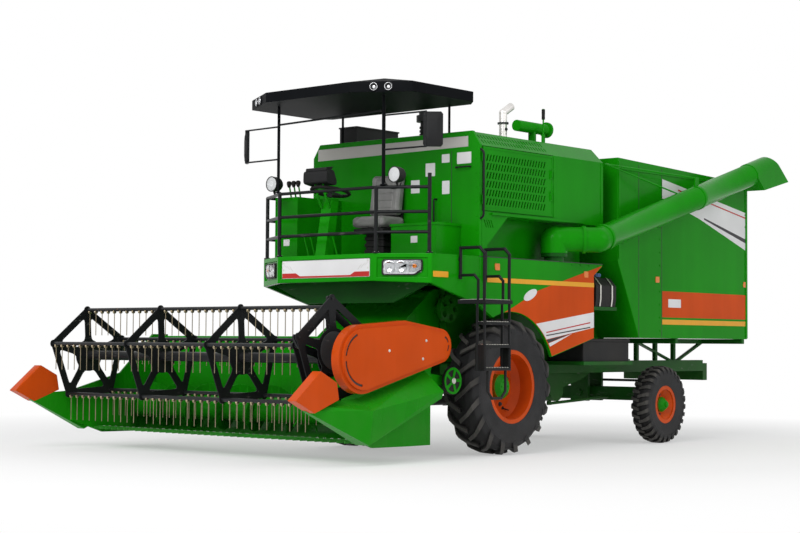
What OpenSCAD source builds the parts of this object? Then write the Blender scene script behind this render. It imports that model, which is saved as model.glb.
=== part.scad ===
// Combine harvester with an open operator's platform, cutter bar table, five-bat reel,
// grain tank, swinging unloading auger and straw hood.
// Millimetres. +X is the machine's left, -Y is forward, +Z is up, the ground is at zero.

/* [Wheels] */
// Front tyre diameter over the lugs
front_tyre_d = 1440; // [1380:10:1500]
// Front tyre width
front_tyre_w = 430; // [390:5:450]
// Front rim diameter over its flanges
front_rim_d = 780; // [740:5:820]
// Distance between the front wheels' centres
front_track = 2050; // [2010:10:2110]
// Rear tyre diameter over the lugs
rear_tyre_d = 920; // [880:10:960]
// Rear tyre width
rear_tyre_w = 240; // [210:5:260]
// Rear rim diameter over its flanges
rear_rim_d = 450; // [420:5:480]
// Distance between the rear wheels' centres
rear_track = 2090; // [2060:10:2150]
// Lugs on each side of a front tyre
front_lugs = 18; // [16:1:22]
// Height of a front lug
front_lug_h = 45; // [35:1:55]
// Lugs on each side of a rear tyre
rear_lugs = 28; // [24:1:34]
// Height of a rear lug
rear_lug_h = 22; // [15:1:28]
// Distance from the front axle to the rear axle
wheelbase = 3115; // [3050:5:3180]

/* [Chassis] */
// Distance from the centreline to a rail's centre
rail_x = 560; // [545:5:575]
// Width of a rail
rail_w = 100; // [80:5:110]
// Height of a rail's lower face
rail_z = 840; // [830:5:870]
// Height of a rail's section
rail_h = 140; // [120:5:150]
// Rear end of the rails
rail_rear_y = 4850; // [4750:10:4900]
// Distance from the centreline to a kingpin
kingpin_x = 800; // [780:5:815]

/* [Body] */
// Width over the side panels
body_w = 2400; // [2360:10:2460]
// Width of the threshing body between the front wheels
core_w = 1240; // [1200:10:1280]
// Thickness of the sheet walls with their stiffeners
wall = 40; // [30:2:50]
// Height of the platform and of the floor under engine and tank
deck_z = 2080; // [2060:5:2120]
// Front face of the operator's rear wall
bulkhead_y = -550; // [-570:5:-530]
// Face between engine bay and grain tank
tank_front_y = 740; // [720:5:800]
// Rear face of the grain tank
tank_rear_y = 1700; // [1660:10:1740]
// Height where the upper side walls lean inwards
eave_z = 3240; // [3200:10:3280]
// Height of the engine bay's roof and of the tank's rim
top_z = 3400; // [3370:10:3450]
// Distance that the strips at the top lean inwards
ridge_x = 160; // [120:10:200]
// Height of the ledge over the auger's pocket
ledge_z = 2516; // [2490:2:2560]
// Depth of the auger's pocket from the side panel
pocket_x = 320; // [300:10:360]
// Rear face of the straw hood
hood_rear_y = 4950; // [4850:10:5050]
// Front face of the straw hood
hood_front_y = 2010; // [1980:10:2060]
// Lower edge of the straw hood
hood_z = 1250; // [1230:5:1280]
// Height of the straw hood at its front
hood_top_z = 3330; // [3290:10:3380]

/* [Platform] */
// Front face of the platform's fascia
fascia_y = -1620; // [-1660:10:-1590]
// Half width of the fascia's middle panel
fascia_hw = 680; // [640:10:720]
// Where the fascia's corner panels meet the sides
corner_y = -1320; // [-1350:10:-1290]
// Height of the fascia's lower edge
fascia_z = 1800; // [1780:5:1830]
// Height of the top rail
rail_top_z = 2750; // [2700:10:2800]
// Radius of the rail tube
tube_r = 17; // [14:1:20]
// Height of the canopy's underside
canopy_z = 3690; // [3640:10:3740]
// Half width of the canopy
canopy_hw = 1150; // [1100:10:1200]
// Front edge of the canopy
canopy_front_y = -1900; // [-1950:10:-1850]

/* [Header] */
// Width of the header over its end sheets
header_w = 4100; // [3900:20:4300]
// Distance from the centreline to the left end sheet
header_left = 1150; // [1130:5:1170]
// Height of the feeder's pivot shaft
pivot_z = 1540; // [1520:5:1560]
// Distance of the feeder's pivot shaft ahead of the front axle
pivot_ahead = 430; // [420:5:445]
// Distance of the table auger ahead of the front axle
auger_ahead = 1640; // [1620:5:1660]
// Height of the table auger
auger_z = 470; // [460:5:490]
// Radius over the table auger's flights
flight_r = 250; // [230:5:260]
// Distance of the reel's axis ahead of the knife
reel_ahead = 280; // [260:5:320]
// Height of the reel's axis
reel_z = 1018; // [1010:2:1040]
// Radius of the bats' circle
reel_r = 500; // [480:5:510]
// Length of a tine below its bat
tine_l = 280; // [160:5:300]
// Spacing of the tines
tine_pitch = 105; // [90:5:200]
// Spacing of the knife guards
guard_pitch = 100; // [75:5:120]
// Distance of the divider tips ahead of the front axle
tip_ahead = 3300; // [3250:10:3350]

/* [Unloading auger] */
// Radius of the unloading tube
spout_r = 140; // [120:5:145]
// Length of the unloading tube
unload_l = 3850; // [3600:10:3950]
// Rise of the unloading tube towards its spout in degrees
unload_rise = 16.4; // [14:0.2:18]
// Distance of the tube's line outside the side panels
unload_x = 250; // [230:5:280]

/* [Clearances] */
// Running and seating clearance
fit = 0.3; // [0.2:0.1:0.5]
// Gap round doors and moving panels
door_gap = 6; // [5:1:10]
// Room round the front tyres
tyre_room = 70; // [50:5:90]

/* [Hidden] */
$fn = 48;
half = body_w/2;
ridge = half - ridge_x;
pocket = half - pocket_x;
core = core_w/2;
floor_z = deck_z - wall;
front_r = front_tyre_d/2;
rear_r = rear_tyre_d/2;
fx = front_track/2;
rx = rear_track/2;
rail_top = rail_z + rail_h;
rail_in = rail_x - rail_w/2;
rail_out = rail_x + rail_w/2;
// Wheel discs
front_rim_w = front_tyre_w - 50;
rear_rim_w = rear_tyre_w - 50;
flange_h = 30;
flange_t = 14;
front_disc = 60;
front_disc_t = 22;
rear_disc = 10;
rear_disc_t = 16;
// Header places
header_right = header_w - header_left;
sheet = 25;
trough_r = flight_r + 40;
back_y = -auger_ahead + trough_r;
back_out = back_y + sheet;
back_top = 1240;
knife_y = -auger_ahead - 490;
knife_z = 200;
guard_bar = 50;
guard_l = 160;
feeder_hw = 520;
mouth_hw = feeder_hw + 25;
drum_r = 210;
pivot_y = -pivot_ahead;
shaft_r = 30;
arm_y = -1250;
arm_z = 1150;
reel_y = knife_y - reel_ahead;
bat_r = 20;
eye_r = 42;
vent_w = 22;
spider_t = 12;
spider_hub = 175;
spider_spoke = 80;
spider_rim = 76;
spider_edge = reel_r*cos(36) + 30;
reel_tube_r = 50;
reel_right = header_right - 110;
reel_left = header_left - 312;
ecc_y = -60;
ecc_z = 80;
ecc_x = reel_left + 100;
pin_r = 12;
ecc_r = 185;
arm_t = 40;
arm_gap = 22;
left_arm = header_left - sheet - arm_gap - arm_t;
right_arm = header_right - sheet - arm_gap;
guard_x = header_left + 20;
guard_t = 120;
divider_left = 250;
divider_right = 150;
// Lift cylinders
cyl_x = 420;
base_y = -60;
base_z = 560;
eye_y = -1000;
eye_z = 560;
// Unloading auger places
tube_x = half + unload_x;
turret_x = half - 100;
turret_y = 900;
turret_r = spout_r + 10;
elbow_z = 2330;
elbow_run = tube_x - turret_x;
tube_y = turret_y + elbow_run;
end_y = tube_y + unload_l*cos(unload_rise);
end_z = elbow_z + unload_l*sin(unload_rise);
spout_hw = spout_r + 10;
spout_drop = 262;
spout_out = 310;
spout_back = 430;
spout_lip = 215;
spout_top = 30;
spout_wall = 12;
spout_reach = spout_out*cos(unload_rise) + (spout_drop - 17)*sin(unload_rise);
// Engine screen
screen_hinge_y = bulkhead_y + wall + 2;
screen_y0 = bulkhead_y + wall + door_gap + 10;
screen_y1 = tank_front_y - door_gap;
screen_z0 = ledge_z + wall + door_gap;
screen_z1 = eave_z - door_gap;
hinge_x = half + 14;
hinge_r = 14;
hinge_pin_r = 8;
// Operator's station
post_r = 16;
post_x = fascia_hw + 70;
rail_y = fascia_y + 30;
rail_end = [half - 40, corner_y + 12];
rail_turn = [fascia_hw + 10, rail_y];
post_y = rail_y + (post_x - rail_turn.x)*(rail_end.y - rail_y)/(rail_end.x - rail_turn.x);
post_z = rail_top_z + tube_r + fit;
bezel = 40;
recess = 15;
panel_hw = norm([half - fascia_hw, corner_y - fascia_y])/2;
lamp_hw = panel_hw - 90;
lamp_h = 160;
canopy_rim = 105;
mirror_z = deck_z + 1050;
mirror_h = 350;
mirror_turn = 40;
ladder_x = max(half, fx + front_tyre_w/2 - 40) + 330;
ladder_y0 = bulkhead_y - 330;
ladder_y1 = bulkhead_y + 80;
step_z = 1620;
rung_t = 30;
pedal_y = fascia_y + 200;
// Left edge of the seat's cushion and the way between it and the locker
seat_left = 240;
locker_gap = 80;
// Pan under the threshing body
pan_y0 = front_r - 20;
pan_y1 = wheelbase - 415;
pan_z = rail_z - 200;
pan_r = 130;
pan_a = pan_y0 + 380;
pan_b = pan_y1 - 900;
// Drive pulley behind the header's left end
pulley_y = back_out + 350;
pulley_z = auger_z + 325;
pulley_r = 135;
// Pulley on the end of the feeder's shaft
drive_r = 150;
// Cap on each divider's nose
tip_w = 110;
tip_outline = [[-tip_ahead, 640], [-tip_ahead + 330, 910], [-tip_ahead + 550, 800],
  [-tip_ahead + 580, 640], [-tip_ahead + 250, 520]];
// Middle of the whole machine on the ground
mid_x = (tube_x + spout_hw - header_right - divider_right)/2;
mid_y = (end_y + spout_reach - tip_ahead)/2;

// Places a piece from the machine's own axes, which start on the ground under the front axle.
module placed() {
  translate([-mid_x, -mid_y, 0]) children();
}

// Extrudes a (y, z) outline across the machine.
module across(x0, x1) {
  translate([x0, 0, 0]) rotate([90, 0, 90]) linear_extrude(x1 - x0) children();
}

// Extrudes an (x, z) outline along the machine.
module along(y0, y1) {
  translate([0, y1, 0]) rotate([90, 0, 0]) linear_extrude(y1 - y0) children();
}

// Extrudes an (x, y) outline upwards.
module upward(z0, z1) {
  translate([0, 0, z0]) linear_extrude(z1 - z0) children();
}

module block(x0, x1, y0, y1, z0, z1) {
  translate([x0, y0, z0]) cube([x1 - x0, y1 - y0, z1 - z0]);
}

module rod_x(x0, x1, y, z, r) {
  translate([x0, y, z]) rotate([0, 90, 0]) cylinder(r = r, h = x1 - x0);
}

module rod_y(x, y0, y1, z, r) {
  translate([x, y1, z]) rotate([90, 0, 0]) cylinder(r = r, h = y1 - y0);
}

module rod_z(x, y, z0, z1, r) {
  translate([x, y, z0]) cylinder(r = r, h = z1 - z0);
}

module bar(p, q, r) {
  v = q - p;
  translate(p) rotate([0, acos(v.z/norm(v)), atan2(v.y, v.x)]) cylinder(r = r, h = norm(v));
}

module mirrored() {
  children();
  mirror([1, 0, 0]) children();
}

// Tubes along a row of points, with a round joint at each inner point.
module tube_run(pts, r) {
  for (i = [0 : len(pts) - 2]) bar(pts[i], pts[i + 1], r);
  for (i = [1 : 1 : len(pts) - 2]) translate(pts[i]) sphere(r + 1);
}

function arc(c, r, a0, a1) = [for (i = [0 : 24]) c + r*[cos(a0 + (a1 - a0)*i/24),
  sin(a0 + (a1 - a0)*i/24)]];

// Outline round two circles and their outer tangents.
module strap_outline(a, ra, b, rb) {
  t = atan2(b.y - a.y, b.x - a.x);
  f = acos((ra - rb)/norm(b - a));
  polygon(concat(arc(a, ra, t + f, t + 360 - f), arc(b, rb, t - f, t + f)));
}

// Slanted slot in a sheet, and a sheet pierced by such slots.
function round_corners(pts, r) = [for (i = [0 : len(pts) - 1])
  let (b = pts[i], a = pts[(i + len(pts) - 1) % len(pts)], c = pts[(i + 1) % len(pts)],
    p = b + r*(a - b)/norm(a - b), q = b + r*(c - b)/norm(c - b))
  for (t = [0 : 0.2 : 1]) (1 - t)*(1 - t)*p + 2*t*(1 - t)*b + t*t*q];

function slot(u, v, w, l, lean) = [[u, v], [u + w, v], [u + w + lean, v + l], [u + lean, v + l]];

module pierced(pts, holes) polygon(points = concat(pts, [for (h = holes) each h]),
  paths = concat([[for (i = [0 : len(pts) - 1]) i]],
    [for (k = [0 : len(holes) - 1]) [for (i = [0 : 3]) len(pts) + 4*k + i]]));

// Auger flight from x0 along X.
module flight(x0, turns, pitch, r0, r1, t, hand) translate([x0, 0, 0]) rotate([0, 90, 0])
  linear_extrude(pitch*turns, twist = 360*turns*hand, slices = 16*turns, segments = 4)
  translate([r0, -t/2]) square([r1 - r0, t]);

function both_sides(p) = concat(p, [for (i = [len(p) - 1 : -1 : 0]) [p[i].x, -p[i].y]]);

// Wheel parts lie round the X axis with the outer side at +X.
// The carcass carries two rows of lugs, trimmed to the tread's own section.
module tyre(d, w, rim_d, rim_w, lug_h, lug_n, lug_t, sweep) {
  r = d/2;
  rim = rim_d/2;
  low = r - lug_h;
  edge = w/2;
  bead = rim_w/2 - flange_t - fit;
  rotate([0, 90, 0]) rotate_extrude($fn = 96) polygon(both_sides([[rim - flange_h + fit, bead],
    [rim + fit, bead], [rim + fit, rim_w/2 + 4], [rim + 0.2*(low - rim), edge - 14],
    [rim + 0.6*(low - rim), edge - 4], [low - 0.2*w, edge - 6], [low - 0.06*w, edge - 0.13*w],
    [low, edge - 0.3*w]]));
  intersection() {
    rotate([0, 90, 0]) rotate_extrude($fn = 96) polygon(both_sides([[low - 0.32*w, edge],
      [r - 0.24*w, edge], [r - 0.05*w, edge - 0.09*w], [r, edge - 0.28*w]]));
    for (s = [0, 1]) mirror([s, 0, 0]) for (i = [0 : lug_n - 1])
      rotate([360*(i + s/2)/lug_n, 0, 0]) translate([0, 0, low - 0.3*w])
      linear_extrude(lug_h + 0.35*w) polygon([[-0.04*w, -lug_t/2], [0.24*w, 0.42*sweep - lug_t/2],
        [edge + 5, sweep - 0.7*lug_t], [edge + 5, sweep + 0.7*lug_t],
        [0.24*w, 0.42*sweep + lug_t/2], [-0.04*w, lug_t/2]]);
  }
}

module rim_ring(rim_d, rim_w, disc, disc_t, hub_r, hub_h, cap_r, cap_h) {
  rim = rim_d/2;
  edge = rim_w/2;
  seat_r = rim - flange_h;
  well = seat_r - flange_t;
  face = -disc + disc_t;
  rotate([0, 90, 0]) rotate_extrude($fn = 96) polygon([[0, -disc], [well, -disc], [well, -edge],
    [rim, -edge], [rim, -edge + flange_t], [seat_r, -edge + flange_t], [seat_r, edge - flange_t],
    [rim, edge - flange_t], [rim, edge], [well, edge], [well, face + 70], [well - 70, face],
    [hub_r, face], [hub_r, face + hub_h], [cap_r, face + hub_h + cap_h], [0, face + hub_h + cap_h]]);
}

// Chassis

module chassis_frame() color("forestgreen") placed() {
  lug_y = 125;
  difference() {
    union() {
      mirrored() block(rail_in, rail_out, -pivot_ahead + 80, rail_rear_y, rail_z, rail_top);
      block(-rail_in - 1, rail_in + 1, -160, -60, rail_z, rail_top);
      block(-rail_in - 1, rail_in + 1, wheelbase - 180, wheelbase + 180, rail_z, rail_top);
      block(-rail_out, rail_out, rail_rear_y - 1, rail_rear_y + 100, rail_z - 120, rail_top - 40);
      for (s = [-1, 1]) block(-130, 130, wheelbase + s*(lug_y + 20) - 20,
        wheelbase + s*(lug_y + 20) + 20, rear_r + 20, rail_z + 1);
      block(-110, 110, rail_rear_y + 99, rail_rear_y + 230, rail_z - 60, rail_z - 20);
    }
    rod_y(0, wheelbase - 400, wheelbase + 400, rear_r + 120, 40 + fit);
    rod_z(0, rail_rear_y + 175, rail_z - 200, rail_z + 50, 16);
  }
}

module hood_carrier() color("forestgreen") placed() {
  y0 = wheelbase + 190;
  y1 = hood_rear_y - 70;
  z0 = hood_z - 60;
  x0 = rail_out - 50;
  pitch = 420;
  for (y = [y0 - 60, y1 - 60]) block(-half, half, y, y + 60, z0, hood_z);
  mirrored() {
    block(x0, rail_out, y0 - 1, y1 - 59, z0, hood_z);
    for (i = [0 : 2]) block(x0, rail_out, y0 + i*pitch, y0 + i*pitch + 50, rail_top, z0 + 1);
    across(x0, rail_out) polygon([[y0 + 40, z0 + 1], [y0 + 120, z0 + 1],
      [y0 + 2*pitch - 20, rail_top], [y0 + 2*pitch - 100, rail_top]]);
    across(x0, rail_out) polygon([[y1 - 120, z0 + 1], [y1 - 40, z0 + 1],
      [y0 + 2*pitch + 170, rail_top], [y0 + 2*pitch + 90, rail_top]]);
  }
}

module front_axle() color("darkgreen") placed() {
  flange_x = fx - front_disc - fit;
  rod_x(-flange_x + 60, flange_x - 60, 0, front_r, 100);
  mirrored() {
    rod_x(rail_out + 30, rail_out + 170, 0, front_r, 210);
    rod_x(rail_out + 169, flange_x, 0, front_r, 120);
    rod_x(flange_x - 24, flange_x, 0, front_r, 165);
    block(rail_in, rail_out, -90, 90, front_r, rail_z);
    for (s = [-1, 1]) difference() {
      across(cyl_x + s*50 - 12, cyl_x + s*50 + 12) polygon([[base_y - 60, base_z - 60],
        [base_y + 50, base_z - 60], [60, front_r], [-60, front_r]]);
      rod_x(cyl_x - 100, cyl_x + 100, base_y, base_z, 25 + fit);
    }
    rod_x(cyl_x - 70, cyl_x + 70, base_y, base_z, 25);
  }
}

module rear_axle() color("darkgreen") placed() {
  beam_z = rear_r + 40;
  difference() {
    union() {
      block(-kingpin_x + 20, kingpin_x - 20, wheelbase - 75, wheelbase + 75, beam_z, beam_z + 160);
      mirrored() rod_z(kingpin_x, wheelbase, beam_z - 10, beam_z + 170, 65);
      rod_y(0, wheelbase - 120, wheelbase + 120, rear_r + 120, 95);
      rod_y(0, wheelbase - 190, wheelbase + 190, rear_r + 120, 40);
    }
    mirrored() rod_z(kingpin_x, wheelbase, beam_z - 20, beam_z + 180, 35 + fit);
  }
  mirrored() {
    bar([380, pan_b, pan_z - pan_r - 30], [380, wheelbase - 74, beam_z + 40], 18);
    block(368, 392, pan_b - 30, pan_b + 30, pan_z - pan_r - 48, pan_z - pan_r - fit);
  }
}

module knuckle() {
  beam_z = rear_r + 40;
  end_x = rx - rear_disc - fit;
  rod_z(kingpin_x, wheelbase, beam_z - 40, beam_z + 200, 35);
  for (z = [beam_z - 60, beam_z + 170 + fit]) rod_z(kingpin_x, wheelbase, z, z + 50 - fit, 62);
  for (z = [beam_z - 60, beam_z + 170 + fit])
    block(kingpin_x, kingpin_x + 110, wheelbase - 55, wheelbase + 55, z, z + 50 - fit);
  block(kingpin_x + 67, kingpin_x + 110, wheelbase - 55, wheelbase + 55, beam_z - 60, beam_z + 220);
  rod_x(kingpin_x + 100, end_x, wheelbase, rear_r, 40);
  rod_x(end_x - 16, end_x, wheelbase, rear_r, 80);
  block(kingpin_x - 28, kingpin_x + 28, wheelbase + 20, wheelbase + 230, beam_z + 190, beam_z + 220);
  rod_z(kingpin_x, wheelbase + 230, beam_z + 190, beam_z + 220, 34);
}

module left_knuckle() color("darkgreen") placed() knuckle();

module right_knuckle() color("darkgreen") placed() mirror([1, 0, 0]) knuckle();

module tie_rod() color("dimgray") placed() {
  z = rear_r + 260 + fit;
  block(-kingpin_x, kingpin_x, wheelbase + 215, wheelbase + 245, z, z + 30);
  mirrored() rod_z(kingpin_x, wheelbase + 230, z, z + 36, 30);
}

// Wheels

module front_tyre()
  tyre(front_tyre_d, front_tyre_w, front_rim_d, front_rim_w, front_lug_h, front_lugs, 48, 190);

module rear_tyre()
  tyre(rear_tyre_d, rear_tyre_w, rear_rim_d, rear_rim_w, rear_lug_h, rear_lugs, 36, 40);

module front_left_tyre() color("black") placed() translate([fx, 0, front_r])
  front_tyre();

module front_right_tyre() color("black") placed() mirror([1, 0, 0]) translate([fx, 0, front_r])
  front_tyre();

module front_left_rim() color("orange") placed() translate([fx, 0, front_r])
  rim_ring(front_rim_d, front_rim_w, front_disc, front_disc_t, 130, 90, 80, 40);

module front_right_rim() color("orange") placed() mirror([1, 0, 0]) translate([fx, 0, front_r])
  rim_ring(front_rim_d, front_rim_w, front_disc, front_disc_t, 130, 90, 80, 40);

module rear_left_tyre() color("black") placed() translate([rx, wheelbase, rear_r])
  rear_tyre();

module rear_right_tyre() color("black") placed() mirror([1, 0, 0])
  translate([rx, wheelbase, rear_r])
  rear_tyre();

module rear_left_rim() color("orange") placed() translate([rx, wheelbase, rear_r])
  rim_ring(rear_rim_d, rear_rim_w, rear_disc, rear_disc_t, 90, 40, 45, 60);

module rear_right_rim() color("orange") placed() mirror([1, 0, 0])
  translate([rx, wheelbase, rear_r])
  rim_ring(rear_rim_d, rear_rim_w, rear_disc, rear_disc_t, 90, 40, 45, 60);

// Body

module threshing_body() color("green") placed() {
  difference() {
    across(-core, core) polygon([[-400, rail_top], [-400, floor_z], [tank_rear_y, floor_z],
      [tank_rear_y, hood_top_z - 130], [hood_front_y, hood_top_z - 130], [hood_front_y, hood_z + 880],
      [hood_front_y + 440, hood_z], [hood_front_y + 440, rail_top]]);
    block(-mouth_hw, mouth_hw, -500, -100, pivot_z - drum_r - 30, pivot_z + drum_r + 40);
    rod_x(-core + 20, core - 20, pivot_y, pivot_z, 40 + fit);
    block(-mouth_hw, mouth_hw, -500, -200, rail_top + 80, pivot_z - drum_r - 29);
  }
  rod_x(core - 1, core + 34, pivot_y, pivot_z, 70);
  difference() {
    rod_x(core + 33, core + 83, pivot_y, pivot_z, drive_r);
    for (i = [0 : 4]) rod_x(core + 32, core + 84, pivot_y + 0.63*drive_r*cos(72*i),
      pivot_z + 0.63*drive_r*sin(72*i), 0.23*drive_r);
  }
}

module under_pan() color("darkgreen") placed() across(-rail_in + 20, rail_in - 20) {
  polygon([[pan_y0, rail_top], [pan_y0, pan_z + 160], [pan_a - 30, pan_z],
    [(pan_a + pan_b)/2, pan_z + 60], [pan_b, pan_z], [pan_y1 - 400, pan_z + 120],
    [pan_y1, rail_top - 60], [pan_y1, rail_top]]);
  for (y = [pan_a, pan_b]) translate([y, pan_z]) circle(pan_r);
  for (y = [pan_a, pan_b]) translate([y - pan_r, pan_z]) square([2*pan_r, 150]);
}

module upper_floor() color("darkgreen") placed() {
  block(-half + wall, half - wall, bulkhead_y, tank_rear_y, floor_z, deck_z);
  along(corner_y + 80, corner_y + 120) polygon([[-half + 100, floor_z], [half - 100, floor_z],
    [half - 100, fascia_z - 10], [core, fascia_z - 210], [-core, fascia_z - 210],
    [-half + 100, fascia_z - 10]]);
}

module side_panels() color("green") placed() mirrored() difference() {
  across(half - wall, half) polygon([[bulkhead_y, deck_z], [bulkhead_y, fascia_z - 230],
    [-300, front_r + 720], [600, 1000], [1530, 1240], [1530, 1950], [tank_rear_y, deck_z - 20],
    [tank_rear_y, deck_z]]);
  rod_x(0, 2*half, 0, front_r, front_r + tyre_room);
}

function fascia_plan(t) = let (k = tan((90 - atan2(half - fascia_hw, corner_y - fascia_y))),
    c = (half - fascia_hw)/norm([half - fascia_hw, corner_y - fascia_y]))
  [[-half + t, bulkhead_y], [-half + t, corner_y + t*(1/c - k)],
   [-fascia_hw + t*(1/c - 1)/k, fascia_y + t], [fascia_hw - t*(1/c - 1)/k, fascia_y + t],
   [half - t, corner_y + t*(1/c - k)], [half - t, bulkhead_y]];

// Frame of the fascia's corner panels, with X along the panel and -Y outwards.
module corner_panels() mirrored()
  translate([(half + fascia_hw)/2, (fascia_y + corner_y)/2, 0])
  rotate([0, 0, atan2(corner_y - fascia_y, half - fascia_hw)]) children();

module platform() color("green") placed() difference() {
  union() {
    upward(floor_z, deck_z) polygon(fascia_plan(0));
    intersection() {
      difference() {
        upward(fascia_z - 260, floor_z + 1) polygon(fascia_plan(0));
        upward(fascia_z - 261, floor_z + 2) polygon(
          [for (p = fascia_plan(wall)) p.y == bulkhead_y ? [p.x, bulkhead_y + 1] : p]);
      }
      across(-half, half) polygon([[fascia_y, floor_z + 1], [fascia_y, fascia_z],
        [corner_y, fascia_z - 20], [bulkhead_y, fascia_z - 230], [bulkhead_y, floor_z + 1]]);
    }
  }
  block(-fascia_hw + bezel, fascia_hw - bezel, fascia_y - 1, fascia_y + recess,
    fascia_z + bezel, floor_z - 5);
  corner_panels() block(-panel_hw + bezel, panel_hw - bezel, -1, recess, fascia_z + bezel, floor_z - 5);
}

module bulkhead() color("green") placed() along(bulkhead_y, bulkhead_y + wall)
  polygon([[-half, deck_z], [-half, top_z - 150], [-half + 100, top_z], [half - 100, top_z],
    [half, top_z - 150], [half, deck_z]]);

// Section of the upper body, with the pocket for the auger on the left.
module upper_outline(t) {
  s = (top_z - eave_z)/(half - ridge);
  polygon([[-half + t, deck_z + t], [-half + t, eave_z - t*0.4], [-ridge + t*0.4, top_z - t],
    [ridge - t*0.4, top_z - t], [half - t, eave_z - t*0.4], [half - t, ledge_z + t],
    [pocket - t, ledge_z + t], [pocket - t, deck_z + t]]);
}

module engine_bay() color("green") placed() {
  y0 = bulkhead_y + wall;
  lean = atan2(ridge_x, top_z - eave_z);
  slope = norm([ridge_x, top_z - eave_z]);
  pitch = 50;
  n = floor((tank_front_y - y0 - 100)/pitch);
  gusset = 354;
  difference() {
    along(y0, tank_front_y) upper_outline(0);
    along(y0 - 1, tank_front_y + 1) upper_outline(wall);
    block(-half + wall, pocket - wall, y0 - 1, tank_front_y + 1, deck_z - 1, deck_z + wall + 1);
    block(half - wall - 1, half + 1, y0 - 1, tank_front_y + 1, ledge_z + wall, eave_z);
    translate([half, 0, eave_z]) rotate([0, -lean, 0]) for (i = [0 : n - 1], k = [0, 1])
      block(-2*wall, wall, y0 + 60 + i*pitch, y0 + 80 + i*pitch, (0.2 + 0.35*k)*slope,
        (0.45 + 0.35*k)*slope);
  }
  across(half - wall, half) pierced([[y0, deck_z], [y0, ledge_z + 1], [y0 + 444, ledge_z + 1],
    [y0 + 444 - gusset, deck_z + 120], [y0 + 444 - gusset, deck_z]],
    [for (i = [0 : 3]) slot(y0 + 70 + 38*i, ledge_z - 130, 14, 80, -40)]);
  block(half - 1, half + 24, y0 + 150, tank_front_y, ledge_z + 5, ledge_z + 25);
  for (z = [screen_z0 + 60, screen_z1 - 160]) {
    rod_z(hinge_x, screen_hinge_y, z, z + 30, hinge_r);
    rod_z(hinge_x, screen_hinge_y, z, z + 100, hinge_pin_r);
    block(half - wall, hinge_x, bulkhead_y + wall, screen_hinge_y + 5, z, z + 30);
  }
}

module screen_door() color("silver") placed() difference() {
  w = screen_y1 - screen_y0;
  h = screen_z1 - screen_z0;
  cols = floor((w - 130)/50);
  rows = floor((h - 100)/92);
  union() {
    across(half - 10, half) pierced([[screen_y0, screen_z0], [screen_y1, screen_z0],
      [screen_y1, screen_z1], [screen_y0, screen_z1]], [for (i = [0 : cols - 1], k = [0 : rows - 1])
      slot(screen_y0 + 52 + 50*i, screen_z0 + 62 + 92*k, 20, 70, 26)]);
    difference() {
      block(half - 34, half - 9, screen_y0, screen_y1, screen_z0, screen_z1);
      block(half - 35, half - 8, screen_y0 + 40, screen_y1 - 40, screen_z0 + 40, screen_z1 - 40);
    }
    for (z = [screen_z0 + 60, screen_z1 - 160]) {
      rod_z(hinge_x, screen_hinge_y, z + 30 + fit, z + 100, hinge_r);
      block(half - 10, half + 10, screen_hinge_y + 8, screen_y0 + 20, z + 30 + fit, z + 100);
    }
  }
  for (z = [screen_z0 + 60, screen_z1 - 160])
    rod_z(hinge_x, screen_hinge_y, z, z + 120, hinge_pin_r + fit);
}

module grain_tank() color("green") placed() {
  fill_x = ridge - 140;
  fill_z = top_z + 170;
  lever_x = ridge - 10;
  lever_y = tank_front_y + 50;
  difference() {
    along(tank_front_y, tank_rear_y) upper_outline(0);
    along(tank_front_y + wall, tank_rear_y - wall) upper_outline(wall);
    block(-ridge + wall/2, ridge - wall/2, tank_front_y + wall, tank_rear_y - wall,
      top_z - wall - 1, top_z + 1);
  }
  rod_y(fill_x, tank_front_y - 270, tank_front_y + 320, fill_z, 62);
  rod_y(fill_x, tank_front_y + 270, tank_front_y + 300, fill_z, 88);
  block(fill_x - 40, fill_x + 40, tank_front_y, tank_front_y + wall, top_z - 1, fill_z - 30);
  block(lever_x - 8, lever_x + 8, lever_y - 25, lever_y + 25, top_z - 5, top_z + 90);
  rod_z(lever_x, lever_y, top_z + 60, top_z + 260, 9);
  rod_z(lever_x, lever_y, top_z + 259, top_z + 370, 17);
  block(half - 1, half + 24, tank_front_y, tank_rear_y - 400, ledge_z + 5, ledge_z + 25);
}

module straw_hood() color("green") placed() {
  drop = 90;
  difference() {
    across(-half, half) polygon([[hood_front_y, hood_top_z], [hood_rear_y, hood_top_z - drop],
      [hood_rear_y, hood_z], [hood_front_y + 440, hood_z], [hood_front_y, hood_z + 880]]);
    across(-half + wall, half - wall) polygon([[hood_front_y + wall, hood_top_z - wall - 2],
      [hood_rear_y - wall, hood_top_z - drop - wall], [hood_rear_y - wall, hood_z - 1],
      [hood_front_y + 440 + wall*1.2, hood_z - 1], [hood_front_y + wall, hood_z + 880 + wall*0.3]]);
    block(-half + 200, half - 200, hood_rear_y - 2*wall, hood_rear_y + 1, hood_z - 1, hood_z + 900);
    block(-core + 60, core - 60, hood_front_y - 1, hood_front_y + 3*wall, hood_z + 700, hood_z + 1500);
  }
}

module straw_walkers() color("dimgray") placed() {
  for (i = [-1.5 : 1 : 1.5]) across(i*260 - 110, i*260 + 110) polygon([
    for (k = [0 : 5]) each [[hood_front_y + 500 + k*340, hood_z + 420 + k*26],
      [hood_front_y + 840 + k*340, hood_z + 520 + k*26]],
    [hood_front_y + 2540, hood_z + 470], [hood_front_y + 500, hood_z + 340]]);
  for (y = [hood_front_y + 760, hood_front_y + 2100])
    rod_x(-half + wall + fit, half - wall - fit, y, hood_z + 430, 32);
}

module service_trays() color("darkgreen") placed() {
  block(core, half - 10, 1545, 2000, 1560, 1600);
  block(rail_out, half - 20, 1360, 2340, rail_top - 40, rail_top);
}

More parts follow.
